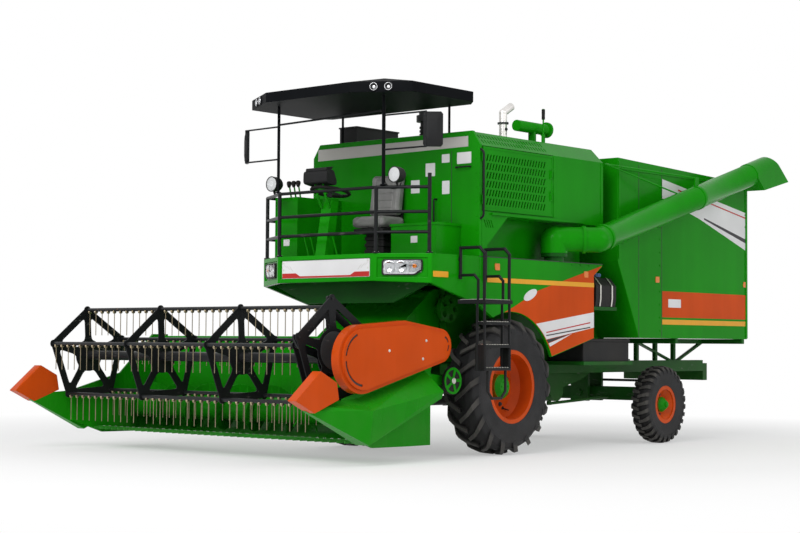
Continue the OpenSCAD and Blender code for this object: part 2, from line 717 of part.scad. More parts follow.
module additive_tank() color("black") placed() {
  x0 = core + 220;
  x1 = half - 5;
  along(1580, 1980) polygon([[x0, 1600], [x1 - 15, 1600], [x1, 1690], [x1, 1840], [x1 - 80, 1930],
    [x0, 1930]]);
  for (y = [1650, 1880]) along(y, y + 26) polygon([[x0, 1600], [x1 - 10, 1600], [x1 + 5, 1690],
    [x1 + 5, 1842], [x1 - 78, 1935], [x0, 1935]]);
  rod_z(x1 - 130, 1770, 1929, 1965, 45);
}

module battery_box() color("black") placed() {
  block(core + 80, half - wall - 10, 1390, 2310, rail_top, rail_top + 225);
  block(core + 70, half - wall, 1380, 2320, rail_top + 224, rail_top + 255);
}

// Operator's station

module railing() color("black") placed() {
  run = [rail_end, rail_turn, [-rail_turn.x, rail_y], [-rail_end.x, rail_end.y],
    [-rail_end.x, rail_end.y + 180]];
  for (z = [rail_top_z, rail_top_z - 250, rail_top_z - 455])
    tube_run([for (p = run) [p.x, p.y, z]], tube_r);
  for (p = run) rod_z(p.x, p.y, deck_z, rail_top_z + 2, tube_r + 3);
  for (p = run) rod_z(p.x, p.y, deck_z, deck_z + 14, 2*tube_r);
  rod_z(rail_end.x, rail_end.y, rail_top_z, rail_top_z + 140, tube_r + 3);
}

module ladder() color("black") placed() {
  x0 = half + tube_r + 2;
  x1 = ladder_x;
  mid = (ladder_y0 + ladder_y1)/2;
  foot = 900;
  for (y = [ladder_y0, ladder_y1]) {
    tube_run([[x0, y, deck_z - 250], [x0, y, deck_z + 70], [x1 - 60, y, deck_z + 70],
      [x1, y, deck_z + 10], [x1, y, step_z - 1]], tube_r);
    tube_run([[x0, y, deck_z - 210], [x1 - 130, y, deck_z - 210], [x1 - 80, y, deck_z - 260],
      [x1 - 80, y, step_z - 1]], tube_r - 2);
    for (z = [deck_z - 235, deck_z - 60]) block(half, x0, y - 14, y + 14, z, z + 30);
    for (x = [x1 - 92, x1 + 2]) rod_z(x, y, foot, step_z - 39, tube_r - 3);
    block(x1 - 110, x1 + 20, y - 6, y + 6, foot, foot + 233 + rung_t);
  }
  block(half, x1 + 30, ladder_y0 - 20, ladder_y1 + 20, step_z - 40, step_z);
  for (z = [foot, foot + 233, foot + 466])
    block(x1 - 110, x1 + 20, ladder_y0, ladder_y1, z, z + rung_t);
  tube_run([[x1, ladder_y0 + 60, foot + 1], [x1, ladder_y0 + 60, 690], [x1, ladder_y0 + 130, 620],
    [x1, ladder_y1 - 130, 620], [x1, ladder_y1 - 60, 690], [x1, ladder_y1 - 60, foot + 1]], 14);
}

module canopy_plan(s) {
  w = canopy_hw - s;
  polygon([[-600 + s/2, canopy_front_y + s], [600 - s/2, canopy_front_y + s], [w, canopy_front_y + 330],
    [w, -600], [w - 150, -450 - s], [-w + 150, -450 - s], [-w, -600], [-w, canopy_front_y + 330]]);
}

module canopy() color("black") placed() {
  top = canopy_z + canopy_rim;
  upward(canopy_z, top) canopy_plan(0);
  hull() {
    upward(top - 1, top) canopy_plan(0);
    upward(top, top + 34) canopy_plan(260);
    block(-canopy_hw + 350, canopy_hw - 350, canopy_front_y + 300, canopy_front_y + 700, top, top + 52);
  }
  mirrored() {
    rod_z(post_x, post_y, post_z, canopy_z + 1, post_r);
    rod_z(post_x, post_y, post_z, post_z + 12, 2*post_r);
    rod_z(post_x + 20, bulkhead_y + wall/2, top_z, canopy_z + 1, post_r - 3);
  }
}

module mirrors() color("black") placed() mirrored() {
  p = [post_x, post_y, 0];
  q = [half + 90, post_y + 30, 0];
  s = p + (post_r + fit)*(q - p)/norm(q - p);
  up = [0, 0, mirror_z];
  top = [0, 0, mirror_z + mirror_h];
  tube_run([s + top, q + top, q + up, s + up], 9);
  translate(q) rotate([0, 0, mirror_turn]) along(10 + fit, 38) polygon([[-30, mirror_z + 25],
    [-10, mirror_z], [150, mirror_z], [170, mirror_z + 25], [170, mirror_z + mirror_h - 25],
    [150, mirror_z + mirror_h], [-10, mirror_z + mirror_h], [-30, mirror_z + mirror_h - 25]]);
}

module lamps() color("white") placed() {
  z0 = fascia_z + bezel + 18;
  z1 = z0 + lamp_h;
  corner_panels() along(-8, recess - fit) polygon([[-lamp_hw, z0 + 20], [-lamp_hw + 20, z0],
    [lamp_hw - 70, z0], [lamp_hw, z0 + 50], [lamp_hw, z1 - 15], [lamp_hw - 15, z1],
    [-lamp_hw + 20, z1], [-lamp_hw, z1 - 20]]);
  p = 0.6*rail_turn + 0.4*rail_end;
  mirrored() {
    rod_y(p.x, p.y - 45, p.y + 10, rail_top_z + 125, 80);
    rod_y(p.x, p.y + 9, p.y + 60, rail_top_z + 125, 55);
    rod_z(p.x, p.y, rail_top_z + tube_r + fit, rail_top_z + 60, 12);
  }
  a = [600, canopy_front_y];
  b = [canopy_hw, canopy_front_y + 330];
  mirrored() translate([(a.x + b.x)/2, (a.y + b.y)/2, canopy_z + canopy_rim/2])
    rotate([0, 0, atan2(b.y - a.y, b.x - a.x)]) for (u = [-75, 75]) {
      rod_y(u, -12, -fit, 0, 46);
      rod_y(u, -20, -11, 0, 36);
    }
}

module seat() color("gray") placed() {
  block(-190, 190, -850, -650, deck_z, deck_z + 300);
  block(-260, seat_left, -980, -560, deck_z + 300, deck_z + 430);
  block(-250, seat_left - 10, -620, -560, deck_z + 430, deck_z + 900);
}

module steering() color("dimgray") placed() translate([-200, fascia_y + 295, deck_z + 690])
  rotate([-10, 0, 0]) {
    rotate_extrude() translate([200, 0]) circle(16);
    for (i = [0 : 2]) rotate([0, 0, 90 + 120*i]) translate([0, -14, -8]) cube([190, 28, 16]);
    cylinder(r = 40, h = 30, center = true);
    translate([0, 0, -60]) cylinder(r = 26, h = 50);
  }

module console() color("green") placed() {
  x = -half + 100;
  z = deck_z + 670;
  top = deck_z + 610;
  locker_x = seat_left + locker_gap;
  block(x, x + 340, bulkhead_y - 700, bulkhead_y, deck_z, z);
  block(locker_x + 10, half - 250, bulkhead_y - 400, bulkhead_y, deck_z, deck_z + 320);
  block(locker_x, half - 240, bulkhead_y - 410, bulkhead_y, deck_z + 319, deck_z + 345);
  for (d = [100, 170, 240]) bar([x + d, bulkhead_y - 550, z - 5], [x + d, bulkhead_y - 590, z + 160], 9);
  for (d = [100, 170, 240]) translate([x + d, bulkhead_y - 590, z + 165]) sphere(22);
  across(-270, -130) polygon([[pedal_y - 60, deck_z], [pedal_y + 70, deck_z], [fascia_y + 350, top],
    [fascia_y + 250, top]]);
  for (d = [-470, -380, -60]) {
    block(d - 16, d + 16, pedal_y + 36, pedal_y + 80, deck_z, deck_z + 14);
    bar([d, pedal_y + 58, deck_z + 8], [d, pedal_y - 20, deck_z + 230], 10);
    block(d - 45, d + 45, pedal_y - 50, pedal_y + 20, deck_z + 222, deck_z + 236);
  }
}

module engine_block() color("dimgray") placed()
  block(-480, 420, bulkhead_y + wall + 160, tank_front_y - 180, deck_z, deck_z + 860);

module exhaust() color("silver") placed() {
  p = [750, 425, 3715];
  q = [750, 570, 3800];
  difference() {
    union() {
      rod_z(p.x, p.y, top_z, p.z, 44);
      translate(p) sphere(45);
      bar(p, q, 44);
      rod_z(p.x, p.y, top_z + 190, top_z + 206, 58);
      rod_z(p.x, p.y, top_z, top_z + 20, 80);
    }
    bar(0.4*p + 0.6*q, q + 0.1*(q - p), 38);
  }
}

module air_intake() color("black") placed() {
  rod_z(0, 0, top_z, top_z + 75, 60);
  for (k = [0 : 2]) rod_z(0, 0, top_z + 74 + 40*k, top_z + 96 + 40*k, 74);
  rod_z(0, 0, top_z + 74, top_z + 230, 64);
  rod_z(0, 0, top_z + 229, top_z + 300, 108);
  rod_z(0, 0, top_z + 299, top_z + 337, 80);
  block(-ridge + 10, -ridge + 270, -300, 410, top_z, top_z + 200);
  block(-ridge, -ridge + 280, -310, 420, top_z + 199, top_z + 215);
}

// Unloading auger

module auger_turret() color("green") placed() {
  rod_z(turret_x, turret_y, deck_z, elbow_z - turret_r - 5 - fit, turret_r - 40);
  rod_z(turret_x, turret_y, elbow_z - turret_r - 45, elbow_z - turret_r - 5 - fit, turret_r - 5);
}

module unload_auger() color("green") placed() {
  b = [turret_x, turret_y, elbow_z];
  m = [tube_x, tube_y, elbow_z];
  e = [tube_x, end_y, end_z];
  run = (e - m)/unload_l;
  lug = m + 2150*run;
  hook = [half + 30, tank_rear_y + 20, eave_z - 15];
  rod_z(turret_x, turret_y, elbow_z - turret_r - 5, elbow_z, turret_r);
  translate(b) sphere(turret_r);
  bar(b, m, spout_r);
  translate(m) sphere(spout_r + 2);
  bar(m, e, spout_r);
  bar(b + 0.62*(m - b), b + 0.7*(m - b), spout_r + 14);
  bar(m + 90*run, m + 130*run, spout_r + 12);
  bar(lug - 30*run, lug + 30*run, spout_r + 8);
  block(lug.x - 10, lug.x + 10, lug.y - 40, lug.y + 40, lug.z + spout_r - 20, lug.z + spout_r + 110);
  tube_run([lug + [0, 0, spout_r + 95], hook, lug - 420*run + [0, 0, spout_r - 5]], 9);
  translate(e) rotate([unload_rise, 0, 0]) difference() {
    intersection() {
      along(-spout_back, spout_out) polygon(concat(arc([0, 0], spout_hw, 0, 180),
        [[-spout_hw, -spout_drop], [spout_hw, -spout_drop]]));
      across(-spout_hw - 1, spout_hw + 1) polygon([[-spout_back - 1, spout_hw + 1], [-spout_back - 1, -40],
        [-spout_back + 110, -spout_lip], [spout_out, -spout_drop + 17], [spout_top, spout_hw + 1]]);
    }
    across(-spout_hw + spout_wall, spout_hw - spout_wall) polygon([[-250, -spout_drop - 40],
      [-250, -spout_r - 5], [0, -spout_r - 5], [0, 40], [spout_top + 60, 40],
      [spout_out - spout_wall, -spout_drop + 9], [spout_out + 20, -spout_drop - 40]]);
  }
}

// Header and feeder

module feeder_house() color("green") placed() {
  outer = [[back_out, 330], [back_out, 1130], [pivot_y - 60, pivot_z + drum_r - 8],
    [pivot_y, pivot_z + drum_r - 6], [pivot_y + 60, pivot_z - drum_r + 30],
    [pivot_y - 40, pivot_z - drum_r + 4]];
  difference() {
    union() {
      across(-feeder_hw, feeder_hw) {
        polygon(outer);
        translate([pivot_y, pivot_z]) circle(drum_r);
      }
      rod_x(-core + 24, core - 24, pivot_y, pivot_z, 40);
      for (s = [-1, 1], t = [-1, 1]) across(s*cyl_x + t*45 - 10, s*cyl_x + t*45 + 10)
        polygon([[eye_y - 70, eye_z + 40], [eye_y - 40, eye_z - 45], [eye_y + 40, eye_z - 45],
          [eye_y + 150, eye_z + 290], [eye_y - 70, eye_z + 120]]);
    }
    across(-feeder_hw + sheet, feeder_hw - sheet) {
      polygon([[back_out - 1, 330 + sheet], [back_out - 1, 1130 - sheet],
        [pivot_y - 60, pivot_z + drum_r - 8 - sheet], [pivot_y - 40, pivot_z - drum_r + 4 + sheet]]);
    }
  }
  mirrored() rod_x(cyl_x - 50, cyl_x + 50, eye_y, eye_z, 18);
}

module end_sheet() polygon([[back_out + 60, auger_z - trough_r - sheet], [back_out + 60, 900],
  [arm_y + 70, arm_z - 90], [arm_y + 70, back_top + 20],
  [back_out - 80, back_top + 20], [knife_y + 250, 820], [knife_y - 420, 640], [knife_y - 420, 300],
  [knife_y, knife_z - 40], [-auger_ahead, auger_z - trough_r - sheet]]);

module header_trough() color("green") placed() difference() {
  union() {
    across(-header_right + 1, header_left - 1) {
      intersection() {
        difference() {
          translate([-auger_ahead, auger_z]) circle(trough_r + sheet);
          translate([-auger_ahead, auger_z]) circle(trough_r);
        }
        translate([-auger_ahead, auger_z - trough_r - sheet]) square(trough_r + sheet);
      }
      polygon([[knife_y, knife_z], [knife_y, knife_z + sheet], [-auger_ahead + 1, auger_z - trough_r],
        [-auger_ahead + 1, auger_z - trough_r - sheet]]);
      translate([back_y, auger_z - 1]) square([sheet, back_top - auger_z + 1]);
      translate([back_y, back_top - 60]) square([80, 60]);
    }
    across(header_left - sheet, header_left) end_sheet();
    across(-header_right, -header_right + sheet) end_sheet();
    across(header_left - 60, header_left - 36)
      strap_outline([back_out + 25, pulley_z + 20], 60, [pulley_y, pulley_z], 45);
    rod_x(header_left - 59, header_left + 62, pulley_y, pulley_z, 22);
    across(header_left + 20, header_left + 56) translate([pulley_y, pulley_z]) difference() {
      circle(pulley_r);
      for (i = [0 : 4]) rotate(72*i) intersection() {
        difference() {
          circle(pulley_r - 24);
          circle(40);
        }
        polygon([[12, 16], [2*pulley_r*cos(66), 2*pulley_r*sin(66)], [2*pulley_r*cos(6), 2*pulley_r*sin(6)]]);
      }
    }
  }
  block(-feeder_hw + sheet, feeder_hw - sheet, back_y - 200, back_out + 10, 330 + sheet, 1130 - sheet);
  for (x = [left_arm, -right_arm]) block(x - arm_gap, x + arm_t + arm_gap, back_y - 20, back_y + 100,
    arm_z - 80, back_top + 1);
  for (x = [header_left, -header_right]) {
    rod_x(x - 50, x + 50, -auger_ahead, auger_z, shaft_r + fit);
    rod_x(x - 50, x + 50, arm_y, arm_z, shaft_r + fit);
  }
}

module points_hull(pts) hull() for (p = pts) translate(p) cube(0.1);

module divider(out, x) difference() {
  y = knife_y - 240;
  waist = [[x, y, 640], [x + out*0.9, y, 530], [x + out*0.7, y, 200], [x, y, 200]];
  union() {
    points_hull(concat([[x, -tip_ahead + 200, 540], [x + 40, -tip_ahead + 200, 540],
      [x, -tip_ahead + 200, 600]], waist));
    points_hull(concat(waist, [[x, arm_y - 110, 900], [x + out, arm_y - 110, 700],
      [x + out*0.9, arm_y - 110, 630], [x, arm_y - 110, 630]]));
  }
  across(x - 1, x + out + 1) polygon(tip_outline);
}

module dividers() color("green") placed() {
  divider(divider_left, header_left);
  mirror([1, 0, 0]) divider(divider_right - 0.1, header_right);
}

module divider_tips() color("orange") placed() {
  across(header_left, header_left + tip_w) polygon(tip_outline);
  across(-header_right - tip_w, -header_right) polygon(tip_outline);
}

module knife_guards() color("gray") placed() {
  x0 = -header_right + sheet + 5;
  x1 = header_left - sheet - 5;
  n = floor((x1 - x0)/guard_pitch);
  upward(knife_z, knife_z + sheet) polygon([[x0, knife_y], [x0, knife_y - guard_bar],
    for (i = [0 : n - 1]) let (x = x0 + guard_pitch*(i + 0.5)) each [[x - 22, knife_y - guard_bar],
      [x - 5, knife_y - guard_l], [x + 5, knife_y - guard_l], [x + 22, knife_y - guard_bar]],
    [x1, knife_y - guard_bar], [x1, knife_y]]);
  upward(knife_z + sheet - 1, knife_z + sheet + 6) polygon([[x0, knife_y - 5], [x0, knife_y - guard_bar],
    for (i = [0 : n - 1]) let (x = x0 + guard_pitch*i) each [[x + 6, knife_y - guard_bar],
      [x + guard_pitch/2 - 8, knife_y - guard_l + 50], [x + guard_pitch/2 + 8, knife_y - guard_l + 50],
      [x + guard_pitch - 6, knife_y - guard_bar]],
    [x1, knife_y - guard_bar], [x1, knife_y - 5]]);
}

module table_auger() color("green") placed() {
  x0 = -header_right + sheet + 20;
  x1 = header_left - sheet - 20;
  pitch = 480;
  left_turns = (x1 - feeder_hw + 60)/pitch;
  right_turns = (-feeder_hw + 60 - x0)/pitch;
  tube = 140;
  rod_x(x0, x1, -auger_ahead, auger_z, tube);
  rod_x(-header_right - 6, header_left + 6, -auger_ahead, auger_z, shaft_r);
  translate([0, -auger_ahead, auger_z]) {
    flight(x0 + 5, floor(4*right_turns)/4, pitch, tube - 4, flight_r, 26, 1);
    flight(x1 - 5 - pitch*floor(4*left_turns)/4, floor(4*left_turns)/4, pitch, tube - 4, flight_r, 26, -1);
    for (i = [0 : 9]) translate([(i - 4.5)*95, 0, 0]) rotate([67*i, 0, 0]) cylinder(r = 9, h = flight_r - 15);
  }
}

// Reel

module reel_arms() color("dimgray") placed() {
  a = [arm_y, arm_z];
  c = [reel_y, reel_z];
  for (x = [left_arm, -right_arm]) difference() {
    across(x, x + arm_t) strap_outline(a, 52, c, 60);
    rod_x(x - 5, x + arm_t + 5, reel_y, reel_z, shaft_r + fit);
  }
  rod_x(left_arm + 1, guard_x, arm_y, arm_z, shaft_r);
  rod_x(-header_right - 12, -right_arm + 1, arm_y, arm_z, shaft_r);
  difference() {
    union() {
      rod_x(ecc_x - 6, ecc_x + spider_t + 6, reel_y + ecc_y, reel_z + ecc_z, ecc_r);
      rod_x(ecc_x + spider_t, left_arm + 1, reel_y, reel_z, 78);
    }
    rod_x(ecc_x - 10, left_arm + 2, reel_y, reel_z, reel_tube_r + 5);
  }
}

// Outline of the drive guard: two round ends and a raised corner between them.
module guard_outline(a, ra, b, rb, p) {
  t = atan2(b.y - a.y, b.x - a.x);
  f = acos((ra - rb)/norm(b - a));
  ta = atan2(p.y - a.y, p.x - a.x) + acos(ra/norm(p - a));
  tb = atan2(p.y - b.y, p.x - b.x) - acos(rb/norm(p - b));
  polygon(concat(arc(a, ra, ta, t + 360 - f), arc(b, rb, t - f, tb), [p]));
}

// Ring sector for a vent slot.
module vent(c, r, a0, a1) polygon(concat(arc(c, r, a0, a1), arc(c, r - vent_w, a1, a0)));

module reel_guard() color("orange") placed() {
  a = [reel_y, reel_z];
  b = [arm_y, arm_z];
  p = [0.47*reel_y + 0.53*arm_y, arm_z + 245];
  in = [0, -42];
  difference() {
    union() {
      across(guard_x, guard_x + guard_t - 25) guard_outline(a, 330, b, 170, p);
      across(guard_x + 1, guard_x + guard_t) guard_outline(a, 292, b, 132, p + in);
    }
    rod_x(guard_x - 1, guard_x + 40, reel_y, reel_z, shaft_r + 8);
    across(guard_x + guard_t - 12, guard_x + guard_t + 1) {
      vent(a, 262, 112, 172);
      vent(a, 262, 184, 266);
      vent(b, 108, 20, 66);
      vent(b, 108, -32, 4);
    }
  }
}

function bat_at(i) = [reel_y + reel_r*cos(93.3 + 72*i), reel_z + reel_r*sin(93.3 + 72*i)];

// Opening between two spokes, seen along +X
function spider_window(hub) = let (u = spider_spoke/2, x = spider_edge - spider_rim,
  far = (x - u*sin(36))/cos(36), low = far*sin(36) - u*cos(36), near = 0.97*hub,
  side = near*sin(36) - u*cos(36), inner = near*cos(36) + u*sin(36))
  [[inner, side], [inner, -side], [x, -low], [x, low]];

// Five-armed plate whose eyes carry the bats.
module spider_outline(hub, bore) difference() {
  union() {
    difference() {
      rotate(93.3) circle(spider_edge/cos(36), $fn = 5);
      for (i = [0 : 4]) rotate(129.3 + 72*i) polygon(round_corners(spider_window(hub), 55));
    }
    circle(hub);
    for (i = [0 : 4]) rotate(93.3 + 72*i) translate([reel_r, 0]) circle(eye_r);
  }
  for (i = [0 : 4]) rotate(93.3 + 72*i) translate([reel_r, 0]) circle(bore);
}

module reel_spiders() color("black") placed() {
  step = (reel_left + reel_right)/3;
  for (k = [0 : 3]) across(-reel_right + k*step, -reel_right + k*step + spider_t)
    translate([reel_y, reel_z]) spider_outline(spider_hub, bat_r + fit);
  rod_x(-reel_right - 20, ecc_x + 40, reel_y, reel_z, reel_tube_r);
  rod_x(-right_arm + 2, guard_x - 10, reel_y, reel_z, shaft_r);
}

module reel_eccentric() color("black") placed() difference() {
  across(ecc_x, ecc_x + spider_t) translate([reel_y + ecc_y, reel_z + ecc_z])
    spider_outline(ecc_r + 34, pin_r + fit);
  rod_x(ecc_x - 5, ecc_x + spider_t + 5, reel_y + ecc_y, reel_z + ecc_z, ecc_r + fit);
}

module bat(i) {
  p = bat_at(i);
  e = [ecc_y, ecc_z];
  step = (reel_left + reel_right)/3;
  x0 = -reel_right - 12;
  x1 = ecc_x - 50;
  rod_x(x0, x1, p.x, p.y, bat_r);
  across(x1 - 1, x1 + 20) strap_outline(p, 30, p + e, 26);
  rod_x(x1 + 19, ecc_x + spider_t + 10, p.x + e.x, p.y + e.y, pin_r);
  n = floor((reel_right + reel_left)/tine_pitch);
  for (k = [0 : n - 1]) {
    x = -reel_right + tine_pitch*(k + 0.5);
    near = min([for (j = [0 : 3]) abs(x + reel_right - j*step - spider_t/2)]);
    if (near > eye_r) {
      rod_z(x, p.x, p.y - tine_l, p.y, 4.5);
      rod_x(x - 13, x + 13, p.x, p.y - bat_r - 4, 15);
    }
  }
}

module bat_1() color("black") placed() bat(0);
module bat_2() color("black") placed() bat(1);
module bat_3() color("black") placed() bat(2);
module bat_4() color("black") placed() bat(3);
module bat_5() color("black") placed() bat(4);

// Lift cylinders under the feeder

module lift_barrels() color("dimgray") placed() mirrored() {
  d = norm([eye_y - base_y, eye_z - base_z]);
  translate([cyl_x, base_y, base_z]) rotate([90, 0, 0]) difference() {
    union() {
      rotate([0, 90, 0]) translate([0, 0, -32]) cylinder(r = 46, h = 64);
      cylinder(r = 34, h = 90);
      translate([0, 0, 80]) cylinder(r = 50, h = d - 360);
    }
    rotate([0, 90, 0]) translate([0, 0, -60]) cylinder(r = 25 + fit, h = 120);
    translate([0, 0, 90]) cylinder(r = 30 + fit, h = d);
  }
}

module lift_rods() color("silver") placed() mirrored() {
  d = norm([eye_y - base_y, eye_z - base_z]);
  translate([cyl_x, base_y, base_z]) rotate([90, 0, 0]) difference() {
    union() {
      translate([0, 0, 150]) cylinder(r = 30, h = d - 150);
      translate([0, 0, d]) rotate([0, 90, 0]) translate([0, 0, -30]) cylinder(r = 46, h = 60);
    }
    translate([0, 0, d]) rotate([0, 90, 0]) translate([0, 0, -60]) cylinder(r = 30, h = 120);
  }
}

chassis_frame();
hood_carrier();
front_axle();
rear_axle();
threshing_body();
under_pan();
upper_floor();
side_panels();
platform();
bulkhead();
engine_bay();
screen_door();
grain_tank();
straw_hood();
straw_walkers();
service_trays();
additive_tank();
battery_box();
railing();
ladder();
canopy();
mirrors();
lamps();
seat();
steering();
console();
engine_block();
exhaust();
air_intake();
auger_turret();
unload_auger();
front_left_tyre();
front_left_rim();
front_right_tyre();
front_right_rim();
rear_left_tyre();
rear_left_rim();
rear_right_tyre();
rear_right_rim();
left_knuckle();
right_knuckle();
tie_rod();
lift_barrels();
lift_rods();
feeder_house();
header_trough();
dividers();
divider_tips();
knife_guards();
table_auger();
reel_arms();
reel_guard();
reel_spiders();
reel_eccentric();
bat_1();
bat_2();
bat_3();
bat_4();
bat_5();
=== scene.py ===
import math

import bmesh
import bpy
from bpy.props import FloatProperty, FloatVectorProperty, IntProperty, PointerProperty
from mathutils import Matrix, Vector


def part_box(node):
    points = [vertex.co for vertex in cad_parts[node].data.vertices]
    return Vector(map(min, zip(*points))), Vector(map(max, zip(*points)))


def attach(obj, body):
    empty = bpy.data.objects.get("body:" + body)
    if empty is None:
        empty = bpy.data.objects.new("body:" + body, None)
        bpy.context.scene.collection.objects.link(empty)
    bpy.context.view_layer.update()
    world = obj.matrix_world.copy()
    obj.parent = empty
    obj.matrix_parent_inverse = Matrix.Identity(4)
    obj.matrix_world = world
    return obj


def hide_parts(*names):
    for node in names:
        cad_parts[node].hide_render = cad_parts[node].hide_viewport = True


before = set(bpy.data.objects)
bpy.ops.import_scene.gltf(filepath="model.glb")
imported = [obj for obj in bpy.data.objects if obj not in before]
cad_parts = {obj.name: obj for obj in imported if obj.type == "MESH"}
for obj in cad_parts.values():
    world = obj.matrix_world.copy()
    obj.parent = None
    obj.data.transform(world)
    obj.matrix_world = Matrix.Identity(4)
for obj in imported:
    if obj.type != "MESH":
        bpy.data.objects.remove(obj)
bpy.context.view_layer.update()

bl_info = {
    "name": "Combine harvester looks",
    "version": (1, 0, 0),
    "blender": (4, 5, 0),
    "location": "View3D > Sidebar > Harvester",
    "description": "Paint, trim, lamps, cushions and fittings for the packed combine harvester",
    "category": "Object",
}


def centre(node):
    lo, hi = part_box(node)
    return (lo + hi) / 2


# Machine frame: +X to the machine's left, -Y forward, the front axle at y = 0, metres.
FRONT = (centre("front_left_rim") + centre("front_right_rim")) / 2
SHIFT = Vector((FRONT.x, FRONT.y, 0))
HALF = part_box("side_panels")[1].x - SHIFT.x
WALL_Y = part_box("bulkhead")[0].y - SHIFT.y
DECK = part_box("platform")[1].z
HOOD_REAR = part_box("straw_hood")[1].y - SHIFT.y
SIDES = ((1, "left"), (-1, "right"))
# Height of a bat's link over the bat's own axis
BAT_LINK_TOP = 0.106
# The reel's axis in the machine frame
REEL_Y, REEL_Z = -2.41, 1.018
# Distance between tines along a bat
TINE_PITCH = 0.105
# Rear face of the header's back sheet
BACK_Y = -1.325
# The photograph's camera: angles in degrees, place in metres from the front axle, focal length in pixels
CAMERA_TURN, CAMERA_TILT, CAMERA_ROLL = 41.117, 2.552, 0.374
CAMERA_BACK, CAMERA_LEFT, CAMERA_UP = 18.914, 0.28, 1.178
FOCAL_PIXELS, PICTURE_PIXELS, SENSOR_WIDTH = 1709.65, 800, 36
# Tread radius and width of a front and of a rear tyre, and radius of each green hub
FRONT_TYRE, REAR_TYRE = (0.675, 0.43), (0.438, 0.24)
FRONT_HUB, REAR_HUB = 0.131, 0.091
# Rear edge of the lower side panels, front edge of the hood's bands, and gap at the hood's rear edge
PANEL_REAR, BAND_FRONT, BAND_GAP = 1.524, 2.95, 0.012
# Depth of a panel seam's dark line
SEAM = 0.0015


# Properties

class HarvesterPaint(bpy.types.PropertyGroup):
    leaf_green: FloatVectorProperty(
        name="Body green", description="Gloss paint of the body and the header",
        default=(0.006, 0.235, 0.002), subtype="COLOR", min=0, max=1)
    # Darker satin green of the chassis and axles; on the upper floor and the pans under the body its darkness
    # is also painted shade
    frame_green: FloatVectorProperty(
        name="Frame green", description="Satin paint of the chassis and the axles",
        default=(0.004, 0.085, 0.005), subtype="COLOR", min=0, max=1)
    orange: FloatVectorProperty(
        name="Orange", description="Paint of the rims, guards and lower panels",
        default=(0.56, 0.066, 0.004), subtype="COLOR", min=0, max=1)
    yellow: FloatVectorProperty(
        name="Stripe yellow", description="Reflective stripes along the body",
        default=(0.78, 0.36, 0.012), subtype="COLOR", min=0, max=1)
    white: FloatVectorProperty(
        name="Band white", description="Bare bands and plates",
        default=(0.74, 0.74, 0.75), subtype="COLOR", min=0, max=1)
    black: FloatVectorProperty(
        name="Black paint", description="Rails, ladder and reel",
        default=(0.010, 0.011, 0.012), subtype="COLOR", min=0, max=1)
    rubber: FloatVectorProperty(
        name="Rubber", description="Tyre rubber",
        default=(0.020, 0.020, 0.021), subtype="COLOR", min=0, max=1)
    dust: FloatVectorProperty(
        name="Dust", description="Dust that settles on the lower parts",
        default=(0.17, 0.145, 0.11), subtype="COLOR", min=0, max=1)


class HarvesterSizes(bpy.types.PropertyGroup):
    edge_round: FloatProperty(
        name="Edge rounding", description="Rounding of sheet edges on the body",
        default=0.006, min=0.001, max=0.02, unit="LENGTH")
    film: FloatProperty(
        name="Band thickness", description="How far painted bands stand proud of the sheet",
        default=0.002, min=0.0005, max=0.005, unit="LENGTH")
    bolt: FloatProperty(
        name="Bolt head", description="Radius of a small bolt head",
        default=0.010, min=0.004, max=0.02, unit="LENGTH")
    bolt_pitch: FloatProperty(
        name="Bolt pitch", description="Distance between bolts along a panel's edge",
        default=0.16, min=0.05, max=0.4, unit="LENGTH")
    wheel_bolts: IntProperty(
        name="Wheel bolts", description="Bolts on each front wheel", default=8, min=5, max=12)


class HarvesterStage(bpy.types.PropertyGroup):
    sky: FloatProperty(
        name="Sky", description="Strength of the even light", default=0.58, min=0, max=2)
    key: FloatProperty(
        name="Key lamp", description="Power of the large lamp in front", default=1780, min=0, max=5000,
        unit="POWER")
    fill: FloatProperty(
        name="Side lamp", description="Power of the lamp on the left", default=330, min=0, max=5000,
        unit="POWER")


def paint():
    return bpy.context.scene.harvester_paint


def sizes():
    return bpy.context.scene.harvester_sizes


# Mesh building

